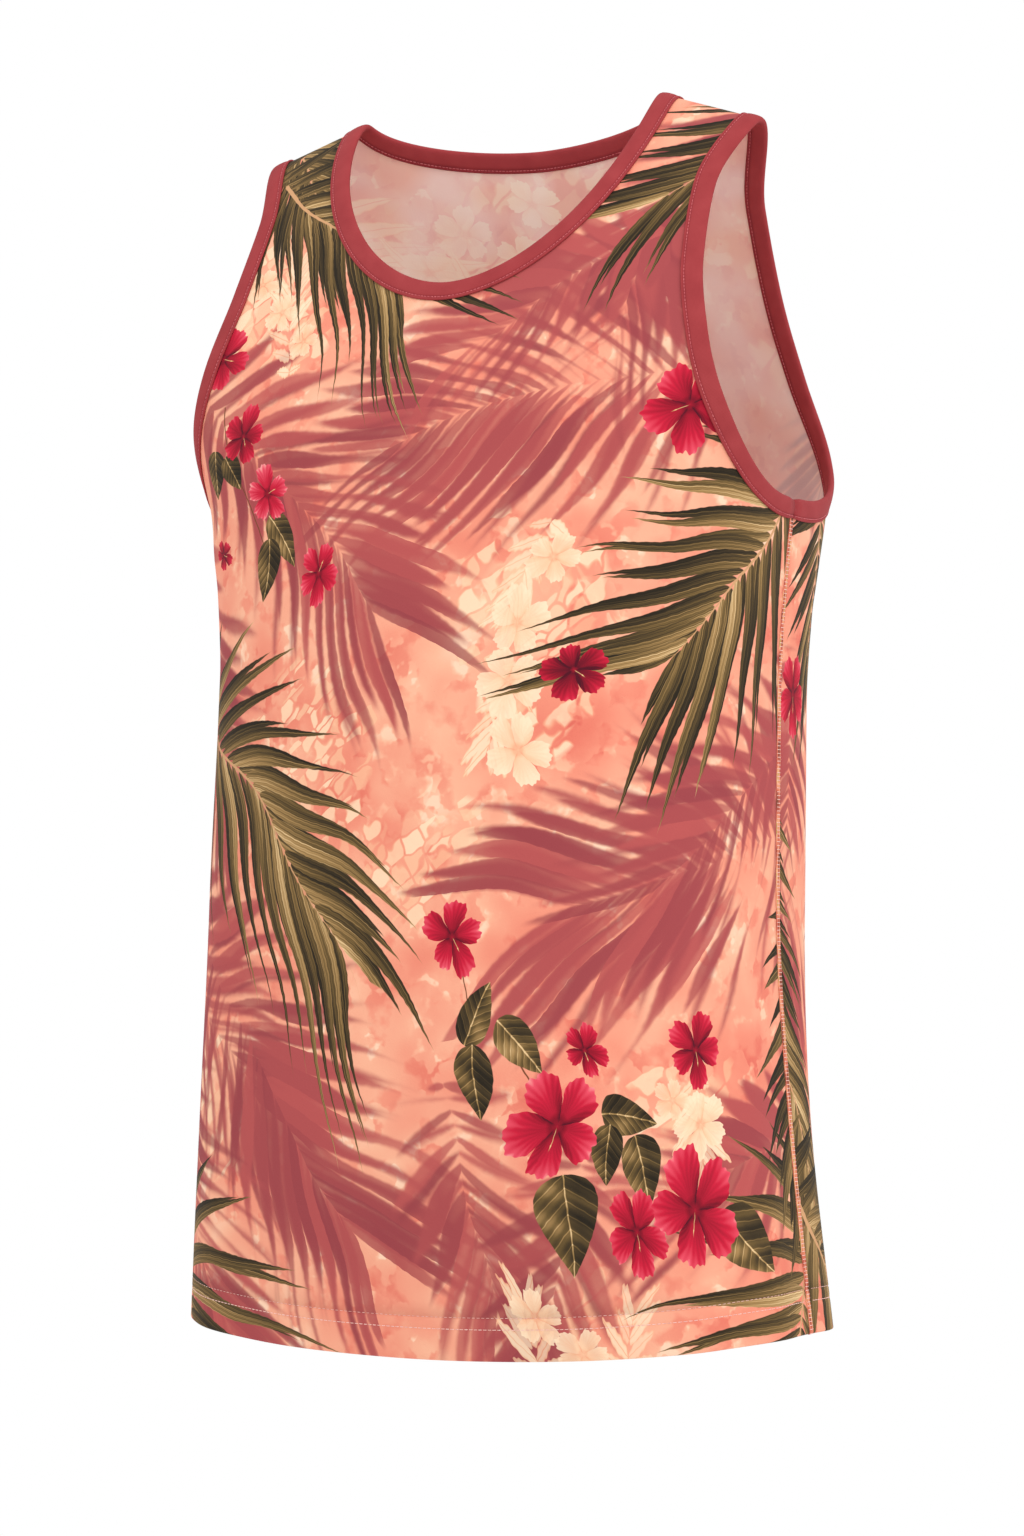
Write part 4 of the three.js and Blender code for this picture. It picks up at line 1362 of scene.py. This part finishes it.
def row_stitches(points, normals, pitch):
    """Stitches along a line, each a short run of points that starts and ends in the cloth."""
    lengths = arc_lengths(points)
    stitches = []
    for k in range(int(lengths[-1] / pitch)):
        at = (k + 0.5 + STITCH_PLACES) * pitch
        dip = unit(at_lengths(at, lengths, normals)) * STITCH_HEIGHTS
        stitches.append(at_lengths(at, lengths, points) + dip)
    return stitches


def make_stitches(name, stitches, material):
    thread = bpy.data.curves.new(name, "CURVE")
    thread.dimensions = "3D"
    thread.bevel_depth = THREAD_RADIUS * MM
    thread.bevel_resolution = 1
    thread.use_fill_caps = True
    thread.materials.append(material)
    for stitch in stitches:
        spline = thread.splines.new("POLY")
        spline.points.add(len(stitch) - 1)
        for point, place in zip(spline.points, stitch * MM):
            point.co = (*place, 1)
    drawn = bpy.data.objects.new(name + "_line", thread)
    mesh = bpy.data.meshes.new_from_object(drawn)
    bpy.data.objects.remove(drawn)
    bpy.data.curves.remove(thread)
    mesh.name = name
    return put_on(name, mesh)


rose_thread = thread_material("rose_thread", tones((0.3, 176, 66, 76), (0.7, 224, 124, 126)))
BINDING_STITCH = 2.2
OUTER_STITCH_SUNK = 0.3
INNER_STITCH_SUNK = 0.22
for name, strip in STRIPS.items():
    outer = strip_point(strip, STITCH_LINE, BINDING_TOP - OUTER_STITCH_SUNK)
    inner = strip_point(strip, STITCH_LINE, BINDING_BACK + INNER_STITCH_SUNK)
    stitches = row_stitches(*outer, BINDING_STITCH)
    stitches += row_stitches(inner[0], -inner[1], BINDING_STITCH)
    make_stitches(name.replace("binding", "stitches"), stitches, rose_thread)

pink_thread = thread_material("pink_thread", tones((0.3, 226, 164, 152), (0.7, 252, 214, 202)))
HEM_STITCH = 2.8
HEM_STITCH_LIFT = 0.12
HEM_STITCH_END = QUARTER - 0.012
hem_around = np.linspace(-HEM_STITCH_END, HEM_STITCH_END, 400)
hem_stitches = []
for side in (FRONT, BACK):
    for rise in HEM_STITCH_RISES:
        line = hem_line(hem_around, rise)
        points, _, _, normal = cloth_points(side, line, STITCH_DENT - HEM_STITCH_LIFT)
        hem_stitches += row_stitches(points, normal, HEM_STITCH)
make_stitches("stitches_hem", hem_stitches, pink_thread)

SEAM_STITCH = 2.1
SEAM_STITCH_START = 6
# The seam's last points turn up inside the hem and have no stitches.
SEAM_END = 5
SEAM_STITCH_ACROSS = np.array([-2.0, -1.5, 1.5, 2.0])
SEAM_STITCH_HEIGHT = np.array([0.1, 0.44, 0.44, 0.1])
for name, half in (("stitches_side_left", 1), ("stitches_side_right", -1)):
    line, outward = (part[:-SEAM_END] for part in seam_path(half))
    lengths = arc_lengths(line)
    ladder = []
    for at in np.arange(SEAM_STITCH_START, lengths[-1], SEAM_STITCH):
        out = at_lengths(at, lengths, outward) * SEAM_STITCH_HEIGHT[:, None]
        across = np.array([0, 1, 0]) * SEAM_STITCH_ACROSS[:, None]
        ladder.append(at_lengths(at, lengths, line) + across + out)
    make_stitches(name, ladder, pink_thread)

# ---- Backdrop, lights and camera -------------------------
# A pale floor well below the hem, a bright even room and two soft lamps. The camera stands a
# little to the wearer's left of the front, level with the waist.
FLOOR_SIZE = 5.6
FLOOR_DROP = 1.35
bpy.ops.mesh.primitive_plane_add(size=FLOOR_SIZE, location=(0, 0, -FLOOR_DROP))
floor = bpy.context.object
floor.name = "floor"
pale_floor = bpy.data.materials.new("pale_floor")
pale_floor.use_nodes = True
floor_shader = pale_floor.node_tree.nodes["Principled BSDF"]
floor_shader.inputs["Base Color"].default_value = (0.9, 0.9, 0.9, 1)
floor.data.materials.append(pale_floor)

room = bpy.data.worlds.new("bright_room")
room.use_nodes = True
room.node_tree.nodes["Background"].inputs["Color"].default_value = (1, 1, 1, 1)
room.node_tree.nodes["Background"].inputs["Strength"].default_value = 1.0
bpy.context.scene.world = room

VIEW_AZIMUTH = 26.9
VIEW_ELEVATION = -2.5
VIEW_DISTANCE = 2.207
LENS = 91.2
SENSOR_HEIGHT = 36
AIM = Vector((-0.0008, -0.0004, -0.3762))
LAMP_DISTANCE = 2.6
LAMPS = (
    # name, azimuth, elevation, size, power
    ("key_lamp", 65, 35, 1.6, 18),
    ("top_lamp", -20, 65, 2.0, 8),
)


def aimed(name, data, azimuth, elevation, distance):
    """A camera or lamp aimed at the middle of the garment. Azimuth 0 is in front of it."""
    turn, lift = math.radians(azimuth), math.radians(elevation)
    across = math.cos(lift)
    away = Vector((math.sin(turn) * across, -math.cos(turn) * across, math.sin(lift)))
    thing = bpy.data.objects.new(name, data)
    thing.location = AIM + away * distance
    thing.rotation_euler = (-away).to_track_quat("-Z", "Y").to_euler()
    bpy.context.scene.collection.objects.link(thing)
    return thing


view = bpy.data.cameras.new("camera")
camera = aimed("camera", view, VIEW_AZIMUTH, VIEW_ELEVATION, VIEW_DISTANCE)
camera.data.sensor_fit = "VERTICAL"
camera.data.sensor_height = SENSOR_HEIGHT
camera.data.lens = LENS
bpy.context.scene.camera = camera
for name, azimuth, elevation, size, power in LAMPS:
    lamp = bpy.data.lights.new(name, "AREA")
    lamp.size = size
    lamp.energy = power
    aimed(name, lamp, azimuth, elevation, LAMP_DISTANCE)
bpy.context.scene.view_settings.view_transform = "Standard"
